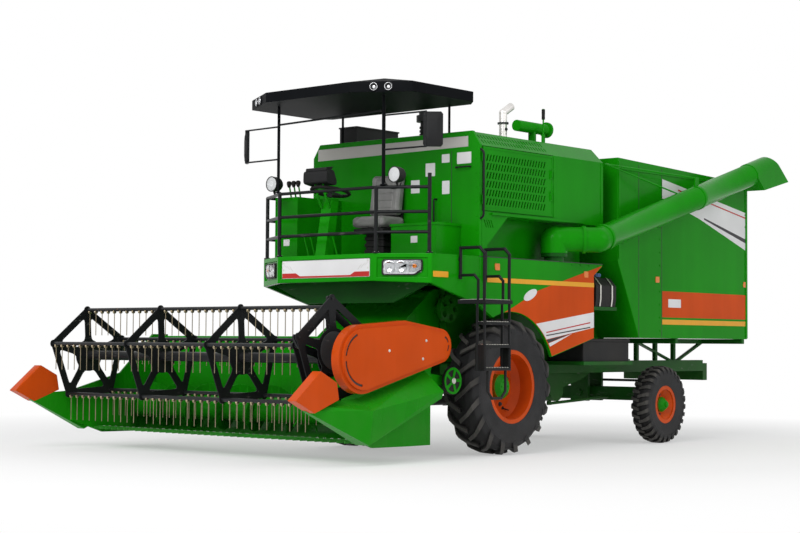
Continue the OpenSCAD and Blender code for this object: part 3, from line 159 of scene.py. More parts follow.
class Shape:
    """Faces of one piece, drawn in the machine frame."""

    def __init__(self):
        self.bm = bmesh.new()
        self.mat = 0

    def face(self, verts):
        try:
            f = self.bm.faces.new(verts)
        except ValueError:
            return None
        f.material_index = self.mat
        return f

    def rings(self, loops, closed=True, caps=True):
        rows = [[self.bm.verts.new(p) for p in loop] for loop in loops]
        n = len(rows[0])
        for a, b in zip(rows, rows[1:]):
            for i in range(n if closed else n - 1):
                j = (i + 1) % n
                self.face((a[i], a[j], b[j], b[i]))
        if caps:
            self.face(rows[0][::-1])
            self.face(rows[-1])
        return rows

    def prism(self, plane, outline, a, b):
        spot = {"x": lambda u, v, w: Vector((w, u, v)), "y": lambda u, v, w: Vector((u, w, v)),
                "z": lambda u, v, w: Vector((u, v, w))}[plane]
        self.rings([[spot(u, v, w) for u, v in outline] for w in (a, b)])

    def frame_prism(self, basis, outline, a, b):
        self.rings([[basis @ Vector((u, v, w)) for u, v in outline] for w in (a, b)])

    def box(self, x0, x1, y0, y1, z0, z1):
        self.prism("z", [(x0, y0), (x1, y0), (x1, y1), (x0, y1)], z0, z1)

    def lathe(self, profile, basis, n=32, caps=True):
        self.rings([[basis @ Vector((u, v, h)) for u, v in circle(max(r, 0.0002), n)] for r, h in profile],
                   caps=caps)

    def tube(self, points, r, n=10, bend=0.0):
        pts = bent(points, bend) if bend else [Vector(p) for p in points]
        side = None
        loops = []
        for i, p in enumerate(pts):
            a = pts[max(i - 1, 0)]
            b = pts[min(i + 1, len(pts) - 1)]
            d = (b - a).normalized()
            if side is None:
                side = d.orthogonal().normalized()
            side = (side - d * side.dot(d)).normalized()
            up = d.cross(side)
            loops.append([p + u * side + v * up for u, v in circle(r, n)])
        self.rings(loops)

    def bolt(self, p, normal, r, h=None):
        basis = facing(p, normal)
        h = h or 0.7 * r
        self.lathe([(1.45 * r, 0), (1.45 * r, 0.18 * h), (1.3 * r, 0.25 * h)], basis, 16)
        self.frame_prism(basis, circle(r, 6), 0.2 * h, h)

    def done(self, name, finish, body="machine", bevel=0.0, smooth=35):
        """Makes the piece, in one finish or a list of them, and rides it on its body."""
        finishes = finish if isinstance(finish, list) else [finish]
        bmesh.ops.recalc_face_normals(self.bm, faces=self.bm.faces)
        mesh = bpy.data.meshes.new(name)
        self.bm.to_mesh(mesh)
        self.bm.free()
        mesh.transform(Matrix.Translation(SHIFT))
        for key in finishes:
            mesh.materials.append(MATERIALS[key])
        mesh.polygons.foreach_set("use_smooth", [True] * len(mesh.polygons))
        mesh.set_sharp_from_angle(angle=math.radians(smooth))
        piece = bpy.data.objects.new(name, mesh)
        bpy.context.scene.collection.objects.link(piece)
        if bevel:
            round_edges(piece, bevel, 40)
        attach(piece, body)
        return piece


def round_edges(piece, width, angle):
    mod = piece.modifiers.new("Rounded edges", "BEVEL")
    mod.width = width
    mod.segments = 2
    mod.limit_method = "ANGLE"
    mod.angle_limit = math.radians(angle)


def circle(r, n, first=0.0):
    """Points on a circle, starting a share of a step from its first axis."""
    return [(r * math.cos(a), r * math.sin(a)) for a in (2 * math.pi * (k + first) / n for k in range(n))]


def facing(p, normal):
    """Frame at p whose local Z points along normal."""
    z = Vector(normal).normalized()
    x = Vector((0, 0, 1)).cross(z)
    x = x.normalized() if x.length > 1e-4 else Vector((1, 0, 0))
    y = z.cross(x)
    return Matrix(((x.x, y.x, z.x, p[0]), (x.y, y.y, z.y, p[1]), (x.z, y.z, z.z, p[2]), (0, 0, 0, 1)))


def round_corner(a, b, c, r, steps):
    """Points of a rounded corner at b, between a and c."""
    reach = min(r, 0.45 * (a - b).length, 0.45 * (c - b).length)
    p = b + (a - b).normalized() * reach
    q = b + (c - b).normalized() * reach
    shares = [k / steps for k in range(steps + 1)]
    return [(1 - t) ** 2 * p + 2 * t * (1 - t) * b + t * t * q for t in shares]


def bent(points, r, steps=6):
    """Path through the points with rounded corners."""
    pts = [Vector(p) for p in points]
    out = [pts[0]]
    for a, b, c in zip(pts, pts[1:], pts[2:]):
        out += round_corner(a, b, c, r, steps)
    return out + [pts[-1]]


def rounded(outline, r, steps=5):
    """Outline with rounded corners."""
    pts = [Vector((u, v, 0)) for u, v in outline]
    out = []
    for i, b in enumerate(pts):
        out += round_corner(pts[i - 1], b, pts[(i + 1) % len(pts)], r, steps)
    return [(p.x, p.y) for p in out]


def rect(u0, u1, v0, v1):
    return [(u0, v0), (u1, v0), (u1, v1), (u0, v1)]


def along_edge(a, b, pitch):
    """Points at an even pitch from a to b."""
    a, b = Vector(a), Vector(b)
    n = max(1, round((b - a).length / pitch))
    return [a + (b - a) * i / n for i in range(n + 1)]


# Shared shader groups

def new_group(name, inputs, outputs):
    tree = bpy.data.node_groups.new(name, "ShaderNodeTree")
    for label, kind, value in inputs:
        s = tree.interface.new_socket(label, in_out="INPUT", socket_type="NodeSocket" + kind)
        s.default_value = value
    for label, kind in outputs:
        tree.interface.new_socket(label, in_out="OUTPUT", socket_type="NodeSocket" + kind)
    return tree, tree.nodes.new("NodeGroupInput"), tree.nodes.new("NodeGroupOutput")


def feed(tree, socket, value):
    """Links a value that changes over the surface, or writes a constant."""
    if isinstance(value, bpy.types.NodeSocket):
        tree.links.new(value, socket)
    else:
        socket.default_value = value


def place_on(tree):
    return tree.nodes.new("ShaderNodeTexCoord").outputs["Object"]


def wire(tree, kind, settings=None, **inputs):
    """Adds a node, sets its options and links or fills its inputs."""
    node = tree.nodes.new("ShaderNode" + kind)
    for k, v in (settings or {}).items():
        setattr(node, k, v)
    for k, v in inputs.items():
        key = int(k[1:]) if k[0] == "i" and k[1:].isdigit() else k.replace("_", " ")
        feed(tree, node.inputs[key], v)
    return node


def noise(tree, where, scale, detail=3.0):
    return wire(tree, "TexNoise", Vector=where, Detail=detail, Scale=scale).outputs["Fac"]


def spread(tree, value, a, b, c, d):
    """Maps value from a..b to c..d, clamped."""
    return wire(tree, "MapRange", {"clamp": True}, i0=value, i1=a, i2=b, i3=c, i4=d).outputs[0]


def maths(tree, op, a, b):
    return wire(tree, "Math", {"operation": op}, i0=a, i1=b).outputs[0]


def blend_colour(tree, mask, a, b):
    first, second = (v if isinstance(v, bpy.types.NodeSocket) else (*v[:3], 1) for v in (a, b))
    return wire(tree, "Mix", {"data_type": "RGBA"}, i0=mask, i6=first, i7=second).outputs[2]


def tone_group():
    tree, i, o = new_group("Tone drift", [("Colour", "Color", (1, 1, 1, 1)), ("Amount", "Float", 0.1),
                                          ("Scale", "Float", 1.0)], [("Colour", "Color")])
    where = place_on(tree)
    low = maths(tree, "SUBTRACT", 1.0, i.outputs["Amount"])
    high = maths(tree, "ADD", 1.0, i.outputs["Amount"])
    factor = spread(tree, noise(tree, where, i.outputs["Scale"]), 0.3, 0.7, low, high)
    scaled = wire(tree, "VectorMath", {"operation": "SCALE"}, i0=i.outputs["Colour"], Scale=factor)
    tree.links.new(scaled.outputs[0], o.inputs["Colour"])
    return tree


def dust_group():
    tree, i, o = new_group("Dust film", [
        ("Colour", "Color", (1, 1, 1, 1)), ("Dust", "Color", (0.2, 0.17, 0.13, 1)),
        ("Amount", "Float", 0.3), ("Low", "Float", 0.2), ("High", "Float", 2.0)],
        [("Colour", "Color"), ("Mask", "Float")])
    where = place_on(tree)
    split = wire(tree, "SeparateXYZ", Vector=where)
    lower = spread(tree, split.outputs["Z"], i.outputs["Low"], i.outputs["High"], 1.0, 0.0)
    up = wire(tree, "SeparateXYZ", Vector=tree.nodes.new("ShaderNodeNewGeometry").outputs["Normal"])
    top = spread(tree, up.outputs["Z"], 0.2, 1.0, 0.0, 0.35)
    cloud = spread(tree, noise(tree, where, 2.6, 7.0), 0.35, 0.7, 0.15, 1.0)
    mask = maths(tree, "MULTIPLY", maths(tree, "ADD", lower, top), cloud)
    mask = maths(tree, "MULTIPLY", mask, i.outputs["Amount"])
    tree.links.new(blend_colour(tree, mask, i.outputs["Colour"], i.outputs["Dust"]), o.inputs["Colour"])
    tree.links.new(mask, o.inputs["Mask"])
    return tree


def grain_group():
    tree, i, o = new_group("Fine grain", [("Scale", "Float", 300.0)], [("Height", "Float")])
    where = place_on(tree)
    tree.links.new(noise(tree, where, i.outputs["Scale"], 2.0), o.inputs["Height"])
    return tree


def scuff_group():
    tree, i, o = new_group("Scuff marks", [
        ("Colour", "Color", (1, 1, 1, 1)), ("Bare", "Color", (0.3, 0.3, 0.3, 1)),
        ("Amount", "Float", 0.3), ("Scale", "Float", 9.0)], [("Colour", "Color"), ("Mask", "Float")])
    where = place_on(tree)
    long = wire(tree, "Mapping", Vector=where)
    long.inputs["Scale"].default_value = (0.6, 1.0, 2.6)
    fine = noise(tree, long.outputs[0], i.outputs["Scale"], 9.0)
    wide = noise(tree, where, 1.7, 2.0)
    marks = spread(tree, fine, 0.62, 0.7, 0.0, 1.0)
    mask = maths(tree, "MULTIPLY", marks, spread(tree, wide, 0.5, 0.62, 0.0, 1.0))
    mask = maths(tree, "MULTIPLY", mask, i.outputs["Amount"])
    tree.links.new(blend_colour(tree, mask, i.outputs["Colour"], i.outputs["Bare"]), o.inputs["Colour"])
    tree.links.new(mask, o.inputs["Mask"])
    return tree


def streak_group():
    tree, i, o = new_group("Run streaks", [("Scale", "Float", 7.0)], [("Mask", "Float")])
    where = place_on(tree)
    tall = wire(tree, "Mapping", Vector=where)
    tall.inputs["Scale"].default_value = (1.0, 1.0, 0.08)
    runs = spread(tree, noise(tree, tall.outputs[0], i.outputs["Scale"], 5.0), 0.45, 0.75, 0.0, 1.0)
    tree.links.new(runs, o.inputs["Mask"])
    return tree


def radius_group():
    tree, i, o = new_group("Wheel radius", [("Centre", "Vector", (0, 0, 0))],
                           [("Radius", "Float"), ("Side", "Float")])
    where = place_on(tree)
    off = wire(tree, "VectorMath", {"operation": "SUBTRACT"}, i0=where, i1=i.outputs["Centre"])
    part = wire(tree, "SeparateXYZ", Vector=off.outputs[0])
    flat = wire(tree, "CombineXYZ", Y=part.outputs["Y"], Z=part.outputs["Z"])
    length = wire(tree, "VectorMath", {"operation": "LENGTH"}, i0=flat.outputs[0])
    tree.links.new(length.outputs["Value"], o.inputs["Radius"])
    tree.links.new(maths(tree, "ABSOLUTE", part.outputs["X"], 0.0), o.inputs["Side"])
    return tree


def flute_group():
    tree, i, o = new_group("Lens flutes", [("Scale", "Float", 60.0)], [("Height", "Float")])
    where = place_on(tree)
    bands = wire(tree, "TexWave", {"wave_type": "BANDS", "bands_direction": "X"}, Vector=where,
                 Scale=i.outputs["Scale"], Distortion=0.3)
    tree.links.new(bands.outputs["Fac"], o.inputs["Height"])
    return tree


GROUPS = {}


def shared(name):
    if name not in GROUPS:
        GROUPS[name] = {"tone": tone_group, "dust": dust_group, "grain": grain_group, "scuff": scuff_group,
                        "streak": streak_group, "radius": radius_group, "flute": flute_group}[name]()
    return GROUPS[name]


class Finish:
    """One material under construction."""

    def __init__(self, name):
        self.mat = bpy.data.materials.new(name)
        self.mat.use_nodes = True
        self.tree = self.mat.node_tree
        self.shader = self.tree.nodes["Principled BSDF"]

    def use(self, name, **inputs):
        node = self.tree.nodes.new("ShaderNodeGroup")
        node.node_tree = shared(name)
        for k, v in inputs.items():
            if k in ("Colour", "Dust", "Bare") and not isinstance(v, bpy.types.NodeSocket):
                v = (*v[:3], 1)
            feed(self.tree, node.inputs[k], v)
        return node.outputs

    def colour(self, socket):
        self.tree.links.new(socket, self.shader.inputs["Base Color"])

    def rough(self, socket, low, high, a=0.0, b=1.0):
        self.tree.links.new(spread(self.tree, socket, a, b, low, high), self.shader.inputs["Roughness"])

    def bump(self, height, depth, strength=1.0):
        node = wire(self.tree, "Bump", Distance=depth, Strength=strength, Height=height)
        self.tree.links.new(node.outputs[0], self.shader.inputs["Normal"])

    def set(self, **values):
        for k, v in values.items():
            self.shader.inputs[k.replace("_", " ")].default_value = v


MATERIALS = {}


def gloss_paint(name, colour, dust=0.08, high=1.6, rough=(0.2, 0.42)):
    f = Finish(name)
    toned = f.use("tone", Colour=colour, Amount=0.12, Scale=0.9)["Colour"]
    runs = f.use("streak", Scale=5.0)["Mask"]
    run = blend_colour(f.tree, maths(f.tree, "MULTIPLY", runs, 0.25), toned,
                       tuple(min(1.0, 1.35 * c + 0.003) for c in colour))
    film = f.use("dust", Colour=run, Dust=paint().dust, Amount=dust, Low=0.1, High=high)
    f.colour(film["Colour"])
    f.rough(maths(f.tree, "ADD", film["Mask"], maths(f.tree, "MULTIPLY", runs, 0.25)), *rough)
    f.bump(f.use("grain", Scale=140.0)["Height"], 0.0006, 0.25)
    f.set(Specular_IOR_Level=0.06, Coat_Weight=0.01, Coat_Roughness=0.08)
    return f.mat


def satin_paint(name, colour, dust=0.2, high=1.5, wear=0.35, rough=(0.4, 0.7)):
    f = Finish(name)
    toned = f.use("tone", Colour=colour, Amount=0.18, Scale=2.2)["Colour"]
    worn = f.use("scuff", Colour=toned, Bare=(0.22, 0.21, 0.2), Amount=wear, Scale=14.0)
    film = f.use("dust", Colour=worn["Colour"], Dust=paint().dust, Amount=dust, Low=0.2, High=high)
    f.colour(film["Colour"])
    f.rough(film["Mask"], *rough)
    f.bump(f.use("grain", Scale=220.0)["Height"], 0.0008, 0.35)
    f.set(Specular_IOR_Level=0.12)
    return f.mat


def tyre_rubber(name, node, tread, width):
    """Dark carcass with hooped walls, and lugs that are dusty and worn pale on top."""
    f = Finish(name)
    c = paint().rubber
    ring = f.use("radius", Centre=centre(node))
    outer = spread(f.tree, ring["Radius"], tread - 0.045, tread - 0.015, 0.0, 1.0)
    side = blend_colour(f.tree, outer, tuple(1.3 * v for v in c), tuple(0.6 * v for v in c))
    over = maths(f.tree, "MAXIMUM", maths(f.tree, "SUBTRACT", ring["Side"], 0.2 * width), 0.0)
    fall = maths(f.tree, "MULTIPLY", maths(f.tree, "MULTIPLY", over, over), 2.24 / width)
    height = maths(f.tree, "SUBTRACT", maths(f.tree, "ADD", ring["Radius"], fall), tread)
    lug = spread(f.tree, height, 0.04 * width, 0.085 * width, 0.0, 1.0)
    worn = blend_colour(f.tree, lug, side, (0.060, 0.057, 0.053))
    toned = f.use("tone", Colour=worn, Amount=0.3, Scale=4.0)["Colour"]
    film = f.use("dust", Colour=toned, Dust=(0.09, 0.085, 0.08), Amount=0.2, Low=0.0, High=0.9)
    f.colour(film["Colour"])
    f.rough(film["Mask"], 0.55, 0.85)
    fine = f.use("grain", Scale=160.0)["Height"]
    waves = wire(f.tree, "Math", {"operation": "SINE"}, i0=maths(f.tree, "MULTIPLY", ring["Radius"], 420.0))
    hoop = maths(f.tree, "MULTIPLY", spread(f.tree, waves.outputs[0], 0.55, 0.95, 0.0, 0.6),
                 maths(f.tree, "SUBTRACT", 1.0, outer))
    f.bump(maths(f.tree, "ADD", maths(f.tree, "MULTIPLY", fine, 0.4), hoop), 0.0025, 0.5)
    f.set(Specular_IOR_Level=0.12)
    return f.mat


def rim_paint(name, node, hub):
    f = Finish(name)
    ring = f.use("radius", Centre=centre(node))
    inner = spread(f.tree, ring["Radius"], hub - 0.004, hub + 0.004, 1.0, 0.0)
    two = blend_colour(f.tree, inner, paint().orange, paint().leaf_green)
    toned = f.use("tone", Colour=two, Amount=0.14, Scale=3.0)["Colour"]
    film = f.use("dust", Colour=toned, Dust=paint().dust, Amount=0.1, Low=0.0, High=1.0)
    f.colour(film["Colour"])
    f.rough(film["Mask"], 0.3, 0.6)
    f.bump(f.use("grain", Scale=120.0)["Height"], 0.0006, 0.3)
    f.set(Specular_IOR_Level=0.1, Coat_Weight=0.02, Coat_Roughness=0.12)
    return f.mat


def bat_paint(name, node):
    """Black tube with bare spring tines below it."""
    f = Finish(name)
    where = wire(f.tree, "SeparateXYZ", Vector=place_on(f.tree))
    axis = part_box(node)[1].z - BAT_LINK_TOP
    tine = spread(f.tree, where.outputs["Z"], axis - 0.026, axis - 0.022, 1.0, 0.0)
    two = blend_colour(f.tree, tine, paint().black, (0.26, 0.215, 0.14))
    toned = f.use("tone", Colour=two, Amount=0.25, Scale=7.0)["Colour"]
    worn = f.use("scuff", Colour=toned, Bare=(0.14, 0.08, 0.04), Amount=0.5, Scale=25.0)
    f.colour(worn["Colour"])
    f.rough(worn["Mask"], 0.35, 0.7)
    f.bump(f.use("grain", Scale=260.0)["Height"], 0.0005, 0.3)
    f.tree.links.new(maths(f.tree, "MULTIPLY", tine, 0.6), f.shader.inputs["Metallic"])
    f.set(Specular_IOR_Level=0.25)
    return f.mat


def metal(name, colour, rough=(0.25, 0.45), stain=(0.12, 0.09, 0.06), wear=0.5):
    f = Finish(name)
    toned = f.use("tone", Colour=colour, Amount=0.12, Scale=6.0)["Colour"]
    worn = f.use("scuff", Colour=toned, Bare=stain, Amount=wear, Scale=20.0)
    f.colour(worn["Colour"])
    f.rough(f.use("grain", Scale=90.0)["Height"], *rough, 0.3, 0.7)
    f.bump(f.use("grain", Scale=400.0)["Height"], 0.0004, 0.3)
    f.set(Metallic=1.0)
    return f.mat


def moulded(name, colour, rough=(0.45, 0.62), dust=0.08, shine=0.12):
    f = Finish(name)
    toned = f.use("tone", Colour=colour, Amount=0.15, Scale=3.0)["Colour"]
    film = f.use("dust", Colour=toned, Dust=paint().dust, Amount=dust, Low=0.5, High=4.2)
    f.colour(film["Colour"])
    f.rough(film["Mask"], *rough)
    f.bump(f.use("grain", Scale=700.0)["Height"], 0.0007, 0.4)
    f.set(Specular_IOR_Level=shine)
    return f.mat


def band_film(name, colour, rough=0.3):
    f = Finish(name)
    toned = f.use("tone", Colour=colour, Amount=0.06, Scale=2.0)["Colour"]
    film = f.use("dust", Colour=toned, Dust=paint().dust, Amount=0.12, Low=0.8, High=3.0)
    f.colour(film["Colour"])
    f.rough(film["Mask"], rough, rough + 0.3)
    f.bump(f.use("grain", Scale=60.0)["Height"], 0.0004, 0.15)
    f.set(Specular_IOR_Level=0.25)
    return f.mat


def lens(name, colour, scale, through=0.2, index=1.46, relief=0.3):
    f = Finish(name)
    f.colour(f.use("tone", Colour=colour, Amount=0.05, Scale=8.0)["Colour"])
    f.bump(f.use("flute", Scale=scale)["Height"], 0.001, relief)
    f.set(Roughness=0.04, Transmission_Weight=through, IOR=index)
    return f.mat


def cushion_cover(name, colour):
    f = Finish(name)
    toned = f.use("tone", Colour=colour, Amount=0.18, Scale=9.0)["Colour"]
    film = f.use("dust", Colour=toned, Dust=(0.25, 0.24, 0.22), Amount=0.15, Low=2.0, High=3.2)
    f.colour(film["Colour"])
    pores = wire(f.tree, "TexVoronoi", {"feature": "DISTANCE_TO_EDGE"}, Vector=place_on(f.tree), Scale=260.0)
    f.rough(film["Mask"], 0.42, 0.6)
    f.bump(pores.outputs["Distance"], 0.0009, 0.6)
    f.set(Sheen_Weight=0.1)
    return f.mat


def make_materials():
    p = paint()
    m = MATERIALS
    m["green"] = gloss_paint("leaf_green_paint", p.leaf_green)
    # Darker copy of the body green: painted shade on the threshing body
    shaded = tuple(0.62 * c for c in p.leaf_green)
    pale = tuple(0.02 + 1.05 * c for c in p.leaf_green)
    m["painted_shade_green"] = gloss_paint("painted_shade_green_paint", shaded, dust=0.12, high=3.0)
    m["header_green"] = gloss_paint("header_green_paint", p.leaf_green, 0.14, 0.9, (0.25, 0.5))
    m["guard_green"] = satin_paint("knife_guard_paint", pale, high=0.5)
    # Darker chassis green, which also serves as painted shade under the body
    m["frame_green"] = satin_paint("frame_green_paint", p.frame_green)
    m["orange"] = gloss_paint("orange_paint", p.orange)
    m["black"] = satin_paint("black_paint", p.black, dust=0.08, wear=0.2, rough=(0.32, 0.6))
    m["reel_black"] = satin_paint("reel_black_paint", p.black, 0.12, 0.8, 0.5, (0.3, 0.6))
    m["dark_steel"] = satin_paint("dark_steel_paint", (0.045, 0.047, 0.05), wear=0.6)
    m["steel"] = metal("worn_steel", (0.46, 0.46, 0.45))
    m["zinc"] = metal("zinc_plate", (0.62, 0.61, 0.56), rough=(0.3, 0.5), wear=0.3)
    m["chrome"] = metal("bright_chrome", (0.8, 0.81, 0.83), rough=(0.06, 0.16), wear=0.1)
    m["alloy"] = metal("exhaust_alloy", (0.72, 0.70, 0.68), (0.35, 0.55), (0.3, 0.22, 0.15), 0.4)
    m["tine"] = metal("spring_tine", (0.50, 0.42, 0.28), (0.3, 0.5), (0.2, 0.1, 0.04))
    m["plastic"] = moulded("black_plastic", (0.012, 0.0125, 0.0135))
    m["canopy"] = moulded("canopy_shell", (0.0055, 0.0062, 0.0072), rough=(0.5, 0.68), dust=0.0, shine=0.02)
    m["grip"] = moulded("rubber_grip", (0.010, 0.010, 0.010), rough=(0.6, 0.75))
    m["cap_blue"] = moulded("filler_cap_blue", (0.09, 0.17, 0.34), rough=(0.35, 0.5), dust=0.1)
    m["iron"] = satin_paint("cast_iron_paint", (0.05, 0.055, 0.06), wear=0.4)
    m["white"] = band_film("band_white", p.white)
    m["grey"] = band_film("band_grey", (0.50, 0.49, 0.46))
    m["dark_line"] = band_film("band_dark", (0.022, 0.022, 0.026))
    m["red"] = band_film("band_red", (0.48, 0.018, 0.016))
    m["yellow"] = band_film("stripe_yellow", p.yellow, rough=0.25)
    m["amber"] = lens("amber_lens", (0.9, 0.24, 0.02), 900.0)
    m["ruby"] = lens("red_lens", (0.55, 0.012, 0.01), 900.0)
    m["clear"] = lens("clear_lens", (0.98, 0.985, 0.99), 90.0, through=1.0, index=1.12, relief=0.05)
    m["frosted"] = lens("frosted_lens", (0.80, 0.82, 0.83), 420.0, through=0.3)
    m["reflector"] = metal("lamp_reflector", (0.58, 0.59, 0.60), rough=(0.10, 0.24), wear=0.0)
    m["mirror"] = metal("mirror_glass", (0.80, 0.82, 0.84), rough=(0.02, 0.05), wear=0.0)
    m["cover"] = cushion_cover("seat_cover_grey", (0.17, 0.17, 0.165))


NODE_FINISH = {
    "black": ("railing", "ladder", "mirrors"),
    "reel_black": ("reel_spiders", "reel_eccentric"),
    "plastic": ("additive_tank", "battery_box", "air_intake"),
    "canopy": ("canopy",),
    # Chassis parts in the darker green; on the upper floor and under pan it is partly painted shade
    "frame_green": ("chassis_frame", "hood_carrier", "front_axle", "rear_axle", "under_pan", "upper_floor",
                    "left_knuckle", "right_knuckle", "service_trays", "auger_turret"),
    "dark_steel": ("tie_rod", "lift_barrels", "reel_arms", "straw_walkers", "steering"),
    # The threshing body takes the darker copy of the body green, as painted shade
    "painted_shade_green": ("threshing_body",),
    "header_green": ("feeder_house", "header_trough", "dividers", "table_auger"),
    "guard_green": ("knife_guards",),
    "orange": ("reel_guard", "divider_tips"),
    "chrome": ("lift_rods",),
    "alloy": ("exhaust",),
    "iron": ("engine_block",),
    "reflector": ("lamps",),
    "cover": ("seat",),
}
ROUNDED = ("platform", "bulkhead", "grain_tank", "straw_hood", "side_panels", "console", "canopy", "dividers",
           "divider_tips", "reel_guard", "battery_box", "additive_tank", "feeder_house", "unload_auger",
           "reel_spiders", "chassis_frame", "hood_carrier")


# Operators

class HARVESTER_OT_stage(bpy.types.Operator):
    """Pale floor, soft light and the camera"""
    bl_idname = "harvester.stage"
    bl_label = "Stage"

    def execute(self, context):
        scene = context.scene
        stage = scene.harvester_stage
        scene.view_settings.view_transform = "Standard"
        self.camera(scene)
        self.floor()
        self.world(scene, stage.sky)
        self.lamp(scene, "key_lamp", (4.5, -15.0, 11.0), 9.0, stage.key)
        self.lamp(scene, "side_lamp", (14.0, 2.0, 8.0), 8.0, stage.fill)
        return {"FINISHED"}

    def lamp(self, scene, name, spot, size, power):
        """Large soft lamp, turned to the middle of the machine."""
        lamp = bpy.data.lights.new(name, "AREA")
        lamp.size = size
        lamp.energy = power
        obj = bpy.data.objects.new(name, lamp)
        scene.collection.objects.link(obj)
        obj.location = Vector(spot) + SHIFT
        look = Vector((0, 0.8, 1.5)) + SHIFT - obj.location
        obj.rotation_euler = look.to_track_quat("-Z", "Y").to_euler()

    def camera(self, scene):
        turn, tilt, roll = (math.radians(v) for v in (CAMERA_TURN, CAMERA_TILT, CAMERA_ROLL))
        ahead = Vector((-math.sin(turn), math.cos(turn), 0))
        right = Vector((math.cos(turn), math.sin(turn), 0))
        up = Vector((0, 0, 1))
        place = -CAMERA_BACK * ahead - CAMERA_LEFT * right + CAMERA_UP * up + SHIFT
        look = ahead * math.cos(tilt) + up * math.sin(tilt)
        over = -ahead * math.sin(tilt) + up * math.cos(tilt)
        r = right * math.cos(roll) + over * math.sin(roll)
        u = -right * math.sin(roll) + over * math.cos(roll)
        cam = bpy.data.cameras.new("photo_camera")
        cam.sensor_fit = "HORIZONTAL"
        cam.sensor_width = SENSOR_WIDTH
        cam.lens = FOCAL_PIXELS / PICTURE_PIXELS * SENSOR_WIDTH
        cam.clip_end = 200
        obj = bpy.data.objects.new("photo_camera", cam)
        obj.matrix_world = Matrix(((r.x, u.x, -look.x, place.x), (r.y, u.y, -look.y, place.y),
                                   (r.z, u.z, -look.z, place.z), (0, 0, 0, 1)))
        scene.collection.objects.link(obj)
        scene.camera = obj

    def floor(self):
        bm = bmesh.new()
        bmesh.ops.create_grid(bm, x_segments=8, y_segments=8, size=70)
        mesh = bpy.data.meshes.new("studio_floor")
        bm.to_mesh(mesh)
        bm.free()
        floor = bpy.data.objects.new("studio_floor", mesh)
        floor.location = (0, 0, -0.001)
        bpy.context.scene.collection.objects.link(floor)
        f = Finish("pale_floor")
        f.colour(f.use("tone", Colour=(0.90, 0.90, 0.905), Amount=0.012, Scale=0.4)["Colour"])
        f.set(Roughness=0.75)
        t = f.tree
        away = wire(t, "VectorMath", {"operation": "LENGTH"}, i0=place_on(t)).outputs["Value"]
        far = maths(t, "MULTIPLY", spread(t, away, 5.0, 9.5, 0.4, 1.0), self.seen(t))
        glow = wire(t, "Emission", Strength=1.0)
        mix = wire(t, "MixShader", i0=far, i1=f.shader.outputs[0], i2=glow.outputs[0])
        t.links.new(mix.outputs[0], t.nodes["Material Output"].inputs["Surface"])
        mesh.materials.append(f.mat)

    def world(self, scene, strength):
        world = bpy.data.worlds.new("studio_world")
        scene.world = world
        world.use_nodes = True
        t = world.node_tree
        back = t.nodes["Background"]
        back.inputs["Color"].default_value = (1, 1, 1, 1)
        t.links.new(spread(t, self.seen(t), 0.0, 1.0, strength, 1.0), back.inputs["Strength"])

    def seen(self, tree):
        """One where the background itself is looked at, straight or through metal and glass."""
        rays = tree.nodes.new("ShaderNodeLightPath").outputs
        direct = maths(tree, "MAXIMUM", rays["Is Camera Ray"], rays["Is Glossy Ray"])
        return maths(tree, "MAXIMUM", direct, rays["Is Transmission Ray"])


class HARVESTER_OT_node_finishes(bpy.types.Operator):
    """Paint, metal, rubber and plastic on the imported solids"""
    bl_idname = "harvester.node_finishes"
    bl_label = "Finishes of the solids"

    def execute(self, context):
        make_materials()
        finish = {n: key for key, names in NODE_FINISH.items() for n in names}
        for name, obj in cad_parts.items():
            front = name.startswith("front")
            if name.endswith("_tyre"):
                mat = tyre_rubber(name + "_rubber", name, *(FRONT_TYRE if front else REAR_TYRE))
            elif name.endswith("_rim"):
                mat = rim_paint(name + "_paint", name, FRONT_HUB if front else REAR_HUB)
            elif name.startswith("bat_"):
                mat = bat_paint(name + "_paint", name)
            else:
                mat = MATERIALS[finish.get(name, "green")]
            obj.data.materials.clear()
            obj.data.materials.append(mat)
            if name in ROUNDED:
                weld = obj.modifiers.new("Joined edges", "WELD")
                weld.merge_threshold = 0.0002
                round_edges(obj, sizes().edge_round, 35)
        return {"FINISHED"}


CLASSES = [HarvesterPaint, HarvesterSizes, HarvesterStage, HARVESTER_OT_stage, HARVESTER_OT_node_finishes]


